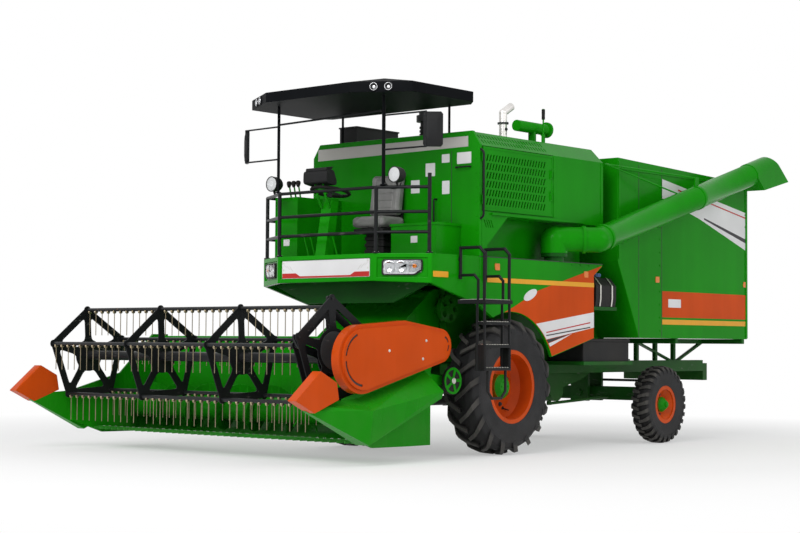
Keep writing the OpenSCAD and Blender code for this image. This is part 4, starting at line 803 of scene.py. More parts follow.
class HARVESTER_OT_side_colours(bpy.types.Operator):
    """Orange lower panels, yellow stripes and bare white bands on both sides"""
    bl_idname = "harvester.side_colours"
    bl_label = "Side colours"

    def execute(self, context):
        film = sizes().film
        for s, side in SIDES:
            for name, outline, layers, finish in self.bands():
                self.band("%s_%s" % (side, name), s, outline, layers * film, finish)
            if side == "left":
                oval = [(0.33 + 0.115 * u, 1.70 + 0.04 * u + 0.052 * v) for u, v in circle(1, 40)]
                self.band("left_oval_plate", s, oval, 3 * film, "white")
            spots = ((-0.29, 1.98), (2.80, 1.945), (HOOD_REAR - 0.1, 1.945), (1.33, 1.955))
            for k, (u, v) in enumerate(spots):
                outline = rounded(rect(u, u + 0.08, v - 0.035, v + 0.035), 0.012)
                self.band("%s_side_reflector_%d" % (side, k + 1), s, outline, 0.007, "amber")
        return {"FINISHED"}

    def bands(self):
        """Name, outline, number of film layers and finish of each band on a side."""
        end = HOOD_REAR - BAND_GAP
        rule_end = HOOD_REAR - 0.02
        wheel_panel = self.arch(0.795, 24, 99) + [
            (0.05, 1.57), (0.47, 1.75), (PANEL_REAR, 2.022), (1.69, 2.066), (PANEL_REAR, 1.95),
            (PANEL_REAR, 1.244)]
        lower_band = self.arch(0.80, 39, 57) + [(PANEL_REAR, 1.535), (PANEL_REAR, 1.362)]
        hood_band = [(BAND_FRONT, 3.15), (BAND_FRONT, 2.92), (3.80, 2.72), (end, 2.375), (end, 2.86)]
        hood_rule = [(3.30, 3.05), (rule_end, 2.80), (rule_end, 2.785), (3.30, 3.035)]
        dark_rule = [(3.9, 2.74), (rule_end, 2.52), (rule_end, 2.47), (3.9, 2.72)]
        return [
            ("orange_panel", wheel_panel, 1, "orange"),
            ("hood_orange", rounded(rect(BAND_FRONT, end, 1.50, 1.812), 0.006), 1, "orange"),
            ("hood_stripe", rect(BAND_FRONT, end, 1.415, 1.475), 1, "yellow"),
            ("side_stripe", rect(-0.42, 1.526, 1.815, 1.865), 2, "yellow"),
            ("lower_band", lower_band, 2, "white"),
            ("lower_wedge", [(0.628, 1.219), (1.06, 1.285), (0.66, 1.186)], 2, "dark_line"),
            ("lower_line", [(0.665, 1.181), (1.10, 1.29), (0.69, 1.146)], 2, "white"),
            ("lower_rule_1", self.rule(1.305, 0.118), 3, "red"),
            ("lower_rule_2", self.rule(1.272, 0.098), 3, "dark_line"),
            ("hood_band", hood_band, 1, "white"),
            ("hood_rule", hood_rule, 2, "red"),
            ("hood_dark_rule", dark_rule, 2, "dark_line"),
            ("hood_plate", rounded(rect(3.08, 3.36, 1.62, 1.72), 0.01), 2, "white"),
        ]

    def rule(self, z, rise, thick=0.012):
        """Thin line along the lower band, with its upper edge at height z in front."""
        return [(0.62, z), (1.45, z + rise), (1.45, z + rise - thick), (0.62, z - thick)]

    def arch(self, r, a0, a1):
        """Edge over the front wheel, in steps of three degrees."""
        turns = [math.radians(a) for a in range(a0, a1 + 1, 3)]
        return [(r * math.cos(a), FRONT.z + r * math.sin(a)) for a in turns]

    def band(self, name, s, outline, thick, finish):
        shape = Shape()
        shape.prism("x", outline, s * HALF, s * (HALF + thick))
        shape.done(name, finish)


class HARVESTER_OT_fascia_trim(bpy.types.Operator):
    """Bare front plate, front reflectors, and the slips on the rear wall and console"""
    bl_idname = "harvester.fascia_trim"
    bl_label = "Front plate"

    def execute(self, context):
        self.front_plate()
        self.reflectors()
        self.rear_wall()
        self.console_slips()
        return {"FINISHED"}

    def front_plate(self):
        """Plate across the fascia, with its red lower edge, corner lines and screws."""
        y = -1.605
        z0, z1 = 1.845, 2.03
        plate = Shape()
        plate.prism("y", rounded(rect(-0.625, 0.625, z0, z1), 0.01), y, y - 0.005)
        plate.done("front_plate", "white", bevel=0.0015)
        edge = Shape()
        edge.prism("y", [(-0.62, z0 + 0.055), (-0.42, z0 + 0.055), (-0.36, z0 + 0.022), (0.36, z0 + 0.022),
                         (0.42, z0 + 0.055), (0.62, z0 + 0.055), (0.62, z0 + 0.004), (-0.62, z0 + 0.004)],
                   y - 0.005, y - 0.0065)
        edge.done("front_plate_red", "red")
        lines = Shape()
        for s in (-1, 1):
            for k in range(3):
                a = 0.46 + 0.045 * k
                low, high = z0 + 0.075 + 0.02 * k, z0 + 0.13 + 0.01 * k
                lines.prism("y", [(s * a, low), (s * (a + 0.05), high), (s * (a + 0.056), high),
                                  (s * (a + 0.006), low)], y - 0.005, y - 0.006)
        lines.done("front_plate_lines", "grey")
        screws = Shape()
        for x in (-0.6, 0.6):
            for z in (z0 + 0.09, z1 - 0.02):
                screws.bolt((x, y - 0.005, z), (0, -1, 0), 0.006)
        screws.done("front_plate_screws", "zinc")

    def reflectors(self):
        for s, side in SIDES:
            flash = Shape()
            x = s * HALF
            flash.prism("x", rounded(rect(-1.295, -1.06, 1.842, 1.902), 0.01), x, x + s * 0.006)
            flash.done(side + "_front_reflector", "yellow", bevel=0.001)

    def rear_wall(self):
        """Grey band along the top of the wall behind the seat, and bare slips below it."""
        front = WALL_Y - 0.003
        band = Shape()
        band.prism("y", [(-1.125, 3.345), (1.045, 3.345), (1.045, 3.235), (-1.125, 3.215)], WALL_Y, front)
        band.done("rear_wall_band", "grey")
        slips = Shape()
        for x, z, w, h in ((0.53, 3.02, 0.13, 0.14), (0.32, 2.85, 0.12, 0.14), (0.742, 3.128, 0.105, 0.09),
                           (0.992, 3.118, 0.19, 0.12), (0.745, 2.82, 0.10, 0.14)):
            outline = rounded(rect(x - w / 2, x + w / 2, z - h / 2, z + h / 2), 0.008)
            slips.prism("y", outline, WALL_Y, front)
        slips.done("rear_wall_slips", "white")

    def console_slips(self):
        tags = Shape()
        for x, y, z in ((0.65, -0.95, 2.255), (-0.92, -1.25, 2.257)):
            tags.prism("y", rounded(rect(x - 0.045, x + 0.045, z - 0.035, z + 0.035), 0.006), y, y - 0.003)
        tags.done("console_slips", "white")


def corner_frame(s, z):
    """Frame on a fascia corner panel: local X along the panel, local Z outwards."""
    a = Vector((s * 0.68, -1.62, 0))
    b = Vector((s * HALF, -1.32, 0))
    mid = (a + b) / 2
    out = Vector((s * (b.y - a.y), -(abs(b.x) - abs(a.x)), 0))
    return facing((mid.x, mid.y, z), out)


class HARVESTER_OT_headlamps(bpy.types.Operator):
    """Headlamp housings, reflectors, bulbs and lenses in the corner panels"""
    bl_idname = "harvester.headlamps"
    bl_label = "Headlamps"
    # Depth of the pan's floor, half width and half height of the housing
    back, w, h = -0.0145, 0.2102, 0.08

    def execute(self, context):
        for s, side in SIDES:
            m = corner_frame(s, 1.938)
            rim = self.housing(s, side, m)
            self.reflector(s, side, m)
            self.bulbs(s, side, m)
            self.glass(s, side, m)
            if s == 1:
                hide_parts("lamps")
        return {"FINISHED"}

    def housing(self, s, side, m):
        outer, inner = self.outline(s, self.w, self.h), self.inner(s)
        section = ((inner, self.back), (outer, self.back), (outer, 0.009), (inner, 0.011), (inner, self.back))
        rim = Shape()
        rim.rings([[m @ Vector((u, v, d)) for u, v in line] for line, d in section], caps=False)
        return rim.done(side + "_headlamp_housing", "plastic")

    def reflector(self, s, side, m):
        """Pan with upright ridges on its outer half and two bowls on its inner half."""
        back, h = self.back, self.h
        pan = Shape()
        pan.frame_prism(m, self.inner(s), back, back + 0.001)
        for k in range(12):
            u = 0.068 + 0.0105 * k
            ridge = ((u, back), (u + 0.005, back + 0.005), (u + 0.01, back))
            pan.rings([[m @ Vector((s * a, v, d)) for a, d in ridge] for v in (-h + 0.03, h - 0.014)])
        bowl = [(0.062, back), (0.062, 0.0), (0.058, 0.001), (0.050, -0.006), (0.030, -0.0105),
                (0.010, -0.012)]
        for u in (-0.132, -0.012):
            pan.lathe(bowl, m @ Matrix.Translation((s * u, 0.002, 0)), 36)
        pan.frame_prism(m, rect(*sorted((s * 0.056, s * 0.061)), -h + 0.012, h - 0.012), back, 0.002)
        pan.done(side + "_headlamp_reflector", "reflector")

    def bulbs(self, s, side, m):
        bulbs = Shape()
        for u in (-0.132, -0.012):
            bulbs.lathe([(0.012, -0.012), (0.013, -0.006), (0.010, -0.001), (0, 0.0005)],
                        m @ Matrix.Translation((s * u, 0.002, 0)), 20)
        bulbs.mat = 1
        bulbs.lathe([(0.019, self.back), (0.021, -0.006), (0.015, 0.0005), (0, 0.003)],
                    m @ Matrix.Translation((s * 0.125, 0.012, 0)), 20)
        bulbs.done(side + "_headlamp_bulbs", ["frosted", "amber"])

    def glass(self, s, side, m):
        glass = Shape()
        crown = [self.inner(s, k) for k in (1.0, 1.0, 0.9, 0.6, 0.2)]
        glass.rings([[m @ Vector((u, v, d)) for u, v in line] for line, d in
                     zip(crown, (0.0045, 0.006, 0.0095, 0.0115, 0.012))])
        glass.done(side + "_headlamp_lens", "clear")

    def inner(self, s, share=1.0):
        """Outline of the housing's opening, or a share of it."""
        return self.outline(s, (self.w - 0.012) * share, (self.h - 0.011) * share)

    def outline(self, s, w, h):
        pts = [(-w, -h + 0.012), (-w + 0.012, -h), (w - 0.075, -h), (w, -h + 0.05), (w, h - 0.012),
               (w - 0.012, h), (-w + 0.018, h), (-w, h - 0.018)]
        return [(s * u, v) for u, v in rounded(pts, 0.02)][::s]


class HARVESTER_OT_round_lamps(bpy.types.Operator):
    """Work lamps on the rail, lamps in the canopy's corners and tail lamps"""
    bl_idname = "harvester.round_lamps"
    bl_label = "Round lamps"

    def execute(self, context):
        for s, side in SIDES:
            self.work_lamp(side, facing((s * 0.878, -1.5222, 2.875), (0, -1, 0)))
            a = Vector((s * 0.60, -1.90, 3.7425))
            b = Vector((s * 1.15, -1.57, 3.7425))
            out = Vector((s * (b.y - a.y), -(abs(b.x) - abs(a.x)), 0)).normalized()
            for k, t in enumerate((-0.075, 0.075)):
                q = (a + b) / 2 + (b - a).normalized() * t
                self.canopy_lamp("%s_canopy_lamp_%d" % (side, k + 1), facing(q, out))
            self.rear_lamp(side + "_tail_lamp", s, 1.52, 1.68, "ruby")
            self.rear_lamp(side + "_rear_turn_lamp", s, 1.69, 1.76, "amber")
        return {"FINISHED"}

    def rear_lamp(self, name, s, z0, z1, glass):
        x = s * (HALF - 0.13)
        lamp = Shape()
        lamp.prism("y", rounded(rect(x - 0.05, x + 0.05, z0, z1), 0.015), HOOD_REAR, HOOD_REAR + 0.03)
        lamp.done(name, glass, bevel=0.006)

    def work_lamp(self, side, m):
        shell = Shape()
        shell.lathe([(0.018, -0.125), (0.05, -0.118), (0.072, -0.09), (0.080, -0.054), (0.081, 0.0),
                     (0.083, 0.004), (0.083, 0.012), (0.075, 0.014), (0.073, 0.004)], m, 40)
        shell.tube([m @ Vector((0, -0.078, -0.03)), m @ Vector((0, -0.108, -0.045))], 0.012, 12)
        shell.done(side + "_work_lamp_shell", "plastic")
        glass = Shape()
        glass.lathe([(0.074, 0.004), (0.074, 0.009), (0.06, 0.014), (0.035, 0.018), (0, 0.0195)], m, 36)
        glass.done(side + "_work_lamp_lens", "frosted")
        ring = Shape()
        ring.lathe([(0.030, 0.0165), (0.031, 0.0195), (0.027, 0.0205), (0.026, 0.0175)], m, 30)
        ring.done(side + "_work_lamp_ring", "chrome")

    def canopy_lamp(self, name, m):
        body = Shape()
        body.lathe([(0.046, -0.001), (0.046, 0.010), (0.043, 0.012), (0.040, 0.012), (0.038, 0.006),
                    (0.034, 0.0045)], m, 36)
        body.done(name + "_body", "plastic")
        ring = Shape()
        ring.lathe([(0.0395, 0.011), (0.0385, 0.0135), (0.0345, 0.0135), (0.0335, 0.008)], m, 36, caps=False)
        ring.lathe([(0.017, 0.004), (0.016, 0.009), (0.010, 0.012), (0, 0.013)],
                   m @ Matrix.Translation((0.004, -0.005, 0)), 24)
        ring.done(name + "_ring", "chrome")


CLASSES += [HARVESTER_OT_side_colours, HARVESTER_OT_fascia_trim, HARVESTER_OT_headlamps,
            HARVESTER_OT_round_lamps]


def swell(piece, cap, pressure=4.0, steps=20):
    """Inflates a cushion with cloth, keeping every point within cap of where it began."""
    scene = bpy.context.scene
    start = [v.co.copy() for v in piece.data.vertices]
    mod = piece.modifiers.new("Stuffing", "CLOTH")
    mod.settings.use_pressure = True
    mod.settings.uniform_pressure_force = pressure
    mod.settings.effector_weights.gravity = 0
    mod.settings.quality = 4
    mod.settings.tension_stiffness = 12
    mod.settings.bending_stiffness = 0.4
    mod.point_cache.frame_start = 1
    mod.point_cache.frame_end = steps
    for k in range(1, steps + 1):
        scene.frame_set(k)
    dg = bpy.context.evaluated_depsgraph_get()
    shape = [v.co.copy() for v in piece.evaluated_get(dg).data.vertices]
    piece.modifiers.remove(mod)
    scene.frame_set(1)
    for v, a, b in zip(piece.data.vertices, start, shape):
        move = b - a
        v.co = a + move * min(1.0, cap / max(move.length, 1e-9))


class HARVESTER_OT_seat(bpy.types.Operator):
    """Cushioned operator's seat on a sprung pedestal"""
    bl_idname = "harvester.seat"
    bl_label = "Operator's seat"

    def execute(self, context):
        base = self.pedestal()
        pan = self.cushion("seat_cushion", 0.46, 0.39, 0.095, 0.05, self.seat_lines)
        pan.data.transform(Matrix.Translation(SHIFT + Vector((-0.01, -0.775, DECK + 0.385))))
        back = self.cushion("seat_back_cushion", 0.44, 0.46, 0.085, 0.06, self.back_lines)
        lean = Matrix.Rotation(math.radians(83), 4, "X")
        back.data.transform(Matrix.Translation(SHIFT + Vector((-0.01, -0.633, DECK + 0.685))) @ lean)
        for piece in (pan, back):
            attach(piece, "machine")
        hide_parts("seat")
        return {"FINISHED"}

    def pedestal(self):
        p = Shape()
        p.prism("z", rounded(rect(-0.17, 0.15, -0.86, -0.66), 0.03), DECK, DECK + 0.02)
        for k in range(7):
            grow = 0.012 * (k % 2)
            p.prism("z", rounded(rect(-0.14 - grow, 0.12 + grow, -0.84 - grow, -0.68 + grow), 0.03),
                    DECK + 0.02 + 0.035 * k, DECK + 0.055 + 0.035 * k)
        p.prism("z", rounded(rect(-0.22, 0.20, -0.95, -0.60), 0.03), DECK + 0.265, DECK + 0.315)
        p.prism("x", rounded([(-0.605, DECK + 0.30), (-0.575, DECK + 0.30), (-0.562, DECK + 0.90),
                              (-0.576, DECK + 0.90)], 0.006), -0.19, 0.17)
        return p.done("seat_pedestal", "plastic", bevel=0.003)

    def cushion(self, name, width, depth, thick, corner, lines):
        bm = bmesh.new()
        outline = rounded(rect(-width / 2, width / 2, -depth / 2, depth / 2), corner, 6)
        levels = [(-thick / 2, 0.95), (-thick * 0.3, 1.0), (thick * 0.3, 1.0), (thick / 2, 0.93)]
        rows = [[bm.verts.new((u * k, v * k, z)) for u, v in outline] for z, k in levels]
        for a, b in zip(rows, rows[1:]):
            for i in range(len(a)):
                j = (i + 1) % len(a)
                bm.faces.new((a[i], a[j], b[j], b[i]))
        bm.faces.new(rows[0][::-1])
        bm.faces.new(rows[-1])
        mesh = bpy.data.meshes.new(name)
        bm.to_mesh(mesh)
        bm.free()
        piece = bpy.data.objects.new(name, mesh)
        bpy.context.scene.collection.objects.link(piece)
        remesh = piece.modifiers.new("Even mesh", "REMESH")
        remesh.mode = "VOXEL"
        remesh.voxel_size = 0.006
        dg = bpy.context.evaluated_depsgraph_get()
        even = bpy.data.meshes.new_from_object(piece.evaluated_get(dg))
        piece.modifiers.clear()
        piece.data = even
        swell(piece, 0.014)
        for v in piece.data.vertices:
            if v.co.z > 0:
                v.co.z -= lines(v.co.x, v.co.y) * min(1.0, v.co.z / (0.4 * thick))
        piece.data.materials.clear()
        piece.data.materials.append(MATERIALS["cover"])
        piece.data.polygons.foreach_set("use_smooth", [True] * len(piece.data.polygons))
        return piece

    def groove(self, t, depth=0.007, wide=0.008):
        return depth * math.exp(-(t / wide) ** 2)

    def sewn(self, x, y, half, channels):
        """Depth of the sewn lines: one along each side, and channels across between them."""
        across = max(self.groove(y - c) for c in channels) if abs(x) < half else 0
        return max(self.groove(abs(x) - half), across)

    def seat_lines(self, x, y):
        return self.sewn(x, y, 0.14, (-0.09, 0.0, 0.09))

    def back_lines(self, x, y):
        return self.sewn(x, y, 0.13, (-0.15, -0.07, 0.01, 0.09, 0.17))


class HARVESTER_OT_controls(bpy.types.Operator):
    """Instrument pod, steering wheel grip, lever knobs, pedal pads and deck mat"""
    bl_idname = "harvester.controls"
    bl_label = "Controls"

    def execute(self, context):
        self.steering_wheel()
        self.instrument_pod()
        self.dials()
        self.lever_knobs()
        self.pedal_pads()
        self.deck_mat()
        return {"FINISHED"}

    def steering_wheel(self):
        """Ribbed grip round the wheel, and the boss on its hub."""
        c = Vector((-0.2, -1.325, 2.77))
        turn = Matrix.Translation(c) @ Matrix.Rotation(math.radians(-10), 4, "X")
        up = turn.to_3x3() @ Vector((0, 0, 1))
        loops = []
        for k, (u, v) in enumerate(circle(1, 48)):
            thick = 0.0185 + 0.0015 * math.cos(math.pi * k)
            out = turn.to_3x3() @ Vector((u, v, 0))
            loops.append([c + 0.2 * out + a * out + b * up for a, b in circle(thick, 10)])
        grip = Shape()
        grip.rings(loops + [loops[0]], caps=False)
        bmesh.ops.remove_doubles(grip.bm, verts=grip.bm.verts, dist=1e-5)
        grip.done("steering_wheel_grip", "grip")
        boss = Shape()
        boss.lathe([(0.048, 0.005), (0.048, 0.018), (0.04, 0.026), (0.0, 0.028)], turn, 32)
        boss.done("steering_wheel_boss", "plastic")

    def instrument_pod(self):
        pod = Shape()
        case = [(-1.565, 2.845), (-1.42, 2.82), (-1.405, 2.86), (-1.455, 2.985), (-1.56, 2.975)]
        hood = [(-1.55, 2.97), (-1.47, 2.985), (-1.44, 3.02), (-1.545, 3.005)]
        pod.prism("x", rounded(case, 0.035), -0.37, -0.03)
        pod.prism("x", rounded(hood, 0.012), -0.35, -0.05)
        pod.done("instrument_pod", "plastic", bevel=0.010)
        stand = Shape()
        for x in (-0.255, -0.145):
            stand.tube([(x, -1.40, 2.60), (x, -1.455, 2.70), (x, -1.50, 2.86)], 0.014, 12, bend=0.05)
        stand.done("instrument_pod_stand", "green")

    def dials(self):
        """Three bezels, each round a scale of ticks with a needle."""
        dial_face = facing((-0.2, -1.43, 2.922), (0, 0.928, 0.371))
        for k, u in enumerate((-0.09, 0.0, 0.09)):
            dial = Shape()
            m = dial_face @ Matrix.Translation((u, 0, 0))
            dial.lathe([(0.038, 0.0), (0.038, 0.012), (0.033, 0.012), (0.032, 0.007), (0.0, 0.007)], m, 32)
            dial.done("instrument_bezel_%d" % (k + 1), "chrome")
            scale = Shape()
            scale.lathe([(0.0315, 0.0075), (0.0, 0.0076)], m, 32)
            scale.mat = 1
            for j in range(9):
                tick = m @ Matrix.Rotation(math.radians(-30 + 30 * j), 4, "Z")
                scale.frame_prism(tick, rect(0.021, 0.028, -0.0008, 0.0008), 0.0077, 0.0081)
            scale.mat = 2
            needle = [(-0.006, -0.0015), (0.022, -0.0004), (0.022, 0.0004), (-0.006, 0.0015)]
            scale.frame_prism(m @ Matrix.Rotation(math.radians(60 + 25 * k), 4, "Z"), needle, 0.0084, 0.009)
            scale.done("instrument_dial_%d" % (k + 1), ["dark_line", "white", "red"])

    def lever_knobs(self):
        knobs = Shape()
        for d in (0.10, 0.17, 0.24):
            m = Matrix.Translation((-1.1 + d, WALL_Y - 0.59, DECK + 0.835))
            knobs.lathe([(0.012, -0.045), (0.02, -0.03), (0.0275, -0.004), (0.0265, 0.012), (0.018, 0.024),
                         (0, 0.028)], m, 24)
        knobs.done("lever_knobs", "grip")

    def pedal_pads(self):
        pads = Shape()
        for d in (-0.47, -0.38, -0.06):
            sole = rounded(rect(d - 0.047, d + 0.047, -1.472, -1.398), 0.01)
            pads.prism("z", sole, DECK + 0.236, DECK + 0.243)
            for k in range(5):
                y = -1.462 + 0.0125 * k
                pads.box(d - 0.04, d + 0.04, y, y + 0.006, DECK + 0.2425, DECK + 0.247)
        pads.done("pedal_pads", "grip")

    def deck_mat(self):
        mat = Shape()
        outline = [(-1.06, -1.27), (-0.66, -1.55), (0.66, -1.55), (1.08, -1.30), (1.08, -1.0), (0.28, -0.98),
                   (0.28, -1.0), (-0.72, -1.0)]
        mat.prism("z", outline, DECK + 0.0005, DECK + 0.004)
        mat.done("deck_mat", "grip")


class HARVESTER_OT_mirror_glass(bpy.types.Operator):
    """Silvered glass, back shells and clamps of the mirrors"""
    bl_idname = "harvester.mirror_glass"
    bl_label = "Mirrors"

    def execute(self, context):
        for s, side in SIDES:
            m = Matrix.Translation((s * 1.29, -1.524, 3.305)) @ Matrix.Rotation(math.radians(s * 40), 4, "Z")
            face = m @ Matrix(((s, 0, 0, 0), (0, 0, 1, 0), (0, 1, 0, 0), (0, 0, 0, 1)))
            outline = rounded(rect(-0.018, 0.158, -0.163, 0.163), 0.03)
            glass = Shape()
            glass.frame_prism(face, outline, 0.0382, 0.0395)
            glass.done(side + "_mirror_glass", "mirror")
            shell = Shape()
            crown = [[(0.07 + (u - 0.07) * k, v * k) for u, v in outline] for k in (1.07, 1.05, 0.85, 0.5)]
            shell.rings([[face @ Vector((u, v, d)) for u, v in line] for line, d in
                         zip(crown, (0.012, 0.006, -0.006, -0.012))])
            shell.done(side + "_mirror_shell", "plastic")
            clamp = Shape()
            for z in (0.10, -0.10):
                clamp.tube([m @ Vector((0, 0, z - 0.02)), m @ Vector((0, 0, z + 0.02))], 0.0145, 12)
            clamp.done(side + "_mirror_clamps", "plastic")
        return {"FINISHED"}


CLASSES += [HARVESTER_OT_seat, HARVESTER_OT_controls, HARVESTER_OT_mirror_glass]


class HARVESTER_OT_grab_rails(bpy.types.Operator):
    """Grab rail, canopy bar, ladder treads, rail foot bolts and lamp conduits"""
    bl_idname = "harvester.grab_rails"
    bl_label = "Grab rails"

    def execute(self, context):
        self.rails()
        self.ladder_treads()
        self.foot_bolts()
        self.lamp_conduits()
        return {"FINISHED"}

    def rails(self):
        rail = Shape()
        x = HALF + 0.042
        y = -0.535
        rail.tube([(HALF, y, 3.20), (x, y, 3.17), (x, y, 2.50), (HALF, y, 2.47)], 0.012, 12, bend=0.04)
        rail.done("screen_grab_rail", "black")
        cross = Shape()
        cross.tube([(-0.732, -1.554, 3.50), (0.732, -1.554, 3.53)], 0.011, 10)
        cross.done("canopy_cross_bar", "black")

    def ladder_treads(self):
        """Grip bars on the three rungs and on the step at the top."""
        treads = Shape()
        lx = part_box("ladder")[1].x - SHIFT.x - 0.03
        for z in (0.93, 1.163, 1.396):
            for k in range(9):
                y = -0.855 + 0.0425 * k
                treads.box(lx - 0.10, lx + 0.012, y, y + 0.018, z, z + 0.006)
        for k in range(14):
            y = -0.885 + 0.03 * k
            treads.box(HALF + 0.02, lx + 0.02, y, y + 0.012, 1.62, 1.6255)
        treads.done("ladder_treads", "zinc")

    def foot_bolts(self):
        feet = Shape()
        for x, y in ((1.16, -1.308), (0.69, -1.59), (-0.69, -1.59), (-1.16, -1.308), (-1.16, -1.128)):
            for u, v in circle(0.0265, 3, 0.375):
                feet.bolt((x + u, y + v, DECK + 0.014), (0, 0, 1), 0.0045)
        feet.done("rail_foot_bolts", "zinc")

    def lamp_conduits(self):
        conduits = Shape()
        for s in (-1, 1):
            conduits.tube([(s * 0.878, -1.42, 2.80), (s * 0.86, -1.44, 2.74), (s * 0.80, -1.50, 2.735),
                           (s * 0.757, -1.538, 2.80), (s * 0.757, -1.538, 3.60)], 0.006, 8, bend=0.03)
        conduits.done("lamp_conduits", "grip")


class HARVESTER_OT_panel_joints(bpy.types.Operator):
    """Seams, bolt rows, flanges, ribs, handles and latches on the body"""
    bl_idname = "harvester.panel_joints"
    bl_label = "Panel joints"

    def execute(self, context):
        self.bolts()
        self.seams()
        self.flanges()
        self.handles()
        self.screen_trim()
        self.rear_ribs()
        self.roof()
        return {"FINISHED"}

    def bolts(self):
        """Bolt rows on both sides and on the wall behind the seat."""
        pitch = sizes().bolt_pitch
        rear = HOOD_REAR - 0.05
        rows = (((0.78, 3.19), (0.78, 2.60)), ((1.66, 3.19), (1.66, 2.60)), ((2.06, 3.25), (2.06, 2.25)),
                ((2.90, 3.20), (2.90, 1.34)), ((rear, 3.15), (rear, 1.90)), ((-0.49, 2.02), (-0.49, 1.62)),
                ((1.10, 2.055), (1.60, 2.055)))
        bolts = Shape()
        for s in (1, -1):
            for a, b in rows:
                for p in along_edge((s * HALF, *a), (s * HALF, *b), pitch):
                    bolts.bolt(p, (s, 0, 0), sizes().bolt)
        for z in (3.355, 2.16):
            for p in along_edge((-1.0, WALL_Y, z), (1.0, WALL_Y, z), 0.25):
                bolts.bolt(p, (0, -1, 0), 0.008)
        for p in along_edge((1.16, WALL_Y, 3.10), (1.16, WALL_Y, 2.2), pitch):
            bolts.bolt(p, (0, -1, 0), 0.007)
        bolts.done("body_bolts", "green")

    def seams(self):
        seams = Shape()
        for s in (1, -1):
            for edges in ((-0.55, 1.70, 2.076, 2.084), (2.44, 2.448, 1.26, 3.28), (2.935, 2.943, 1.26, 3.27)):
                seams.prism("x", rect(*edges), s * HALF, s * HALF + s * SEAM)
        seams.prism("y", rect(0.82, 0.826, 2.12, 3.20), WALL_Y, WALL_Y - SEAM)
        seams.done("body_seams", "dark_line")

    def flanges(self):
        flanges = Shape()
        for s in (1, -1):
            for edges, proud in (((1.655, 1.70, 2.53, 3.225), 0.006), ((0.745, 0.79, 2.56, 3.225), 0.006),
                                 ((2.015, 2.055, 2.16, 3.29), 0.012),
                                 ((HOOD_REAR - 0.045, HOOD_REAR - 0.002, 1.26, 3.22), 0.010),
                                 ((2.06, HOOD_REAR - 0.05, 3.195, 3.225), 0.010)):
                flanges.prism("x", rect(*edges), s * HALF, s * HALF + s * proud)
        flanges.done("body_flanges", "green", bevel=0.0015)

    def handles(self):
        handle = Shape()
        for ends, out, r, bend in ((((0.90, 3.02), (1.08, 3.02)), 0.04, 0.009, 0.02),
                                   (((0.62, 2.36), (0.62, 2.70)), 0.05, 0.010, 0.03)):
            (xa, za), (xb, zb) = ends
            y = WALL_Y - out
            handle.tube([(xa, WALL_Y, za), (xa, y, za), (xb, y, zb), (xb, WALL_Y, zb)], r, 10, bend=bend)
        handle.done("rear_wall_handles", "black")

    def screen_trim(self):
        """Latches and edge strips that open with the engine screen."""
        latch = Shape()
        y = 0.70
        for z in (2.78, 3.02):
            plate = rounded(rect(y - 0.02, y + 0.02, z - 0.045, z + 0.045), 0.008)
            lever = rounded(rect(y - 0.008, y + 0.008, z - 0.03, z + 0.06), 0.005)
            latch.prism("x", plate, HALF, HALF + 0.010)
            latch.prism("x", lever, HALF + 0.010, HALF + 0.020)
        latch.done("screen_latches", "green", "screen", bevel=0.002)
        edge = Shape()
        y0, y1, z0, z1, w = -0.492, 0.732, 2.566, 3.230, 0.022
        for edges in ((y0, y1, z0, z0 + w), (y0, y1, z1 - w, z1), (y0, y0 + w, z0 + w, z1 - w),
                      (y1 - w, y1, z0 + w, z1 - w)):
            edge.prism("x", rect(*edges), HALF, HALF + 0.004)
        edge.done("screen_edge_strips", "green", "screen", bevel=0.001)

    def rear_ribs(self):
        rear = Shape()
        for s in (1, -1):
            rear.prism("y", rect(s * 0.98 - 0.02, s * 0.98 + 0.02, 1.27, 2.13), HOOD_REAR, HOOD_REAR + 0.012)
        rear.prism("y", rect(-1.0, 1.0, 2.13, 2.17), HOOD_REAR, HOOD_REAR + 0.012)
        for z in (2.45, 2.80):
            rear.prism("y", rect(-1.12, 1.12, z, z + 0.03), HOOD_REAR, HOOD_REAR + 0.008)
        rear.done("hood_rear_ribs", "green", bevel=0.002)

    def roof(self):
        """Pressed ribs and edge bolts on the straw hood's sloping roof."""
        lo, hi = (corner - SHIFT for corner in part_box("straw_hood"))

        def height(y):
            return hi.z - 0.09 * (y - lo.y) / (hi.y - lo.y)

        ribs = Shape()
        section = ((-0.034, -0.001), (-0.02, 0.012), (0.02, 0.012), (0.034, -0.001))
        for k in range(6):
            y = lo.y + 0.38 + 0.44 * k
            ribs.prism("x", [(y + d, height(y + d) + up) for d, up in section], -HALF + 0.09, HALF - 0.09)
        ribs.done("hood_roof_ribs", "green", bevel=0.003)
        bolts = Shape()
        for s in (-1, 1):
            x = s * (HALF - 0.04)
            ends = [(x, y, height(y)) for y in (lo.y + 0.06, hi.y - 0.06)]
            for p in along_edge(*ends, 0.2):
                bolts.bolt(p, (0, 0.031, 1), 0.009)
        bolts.done("hood_roof_bolts", "green")


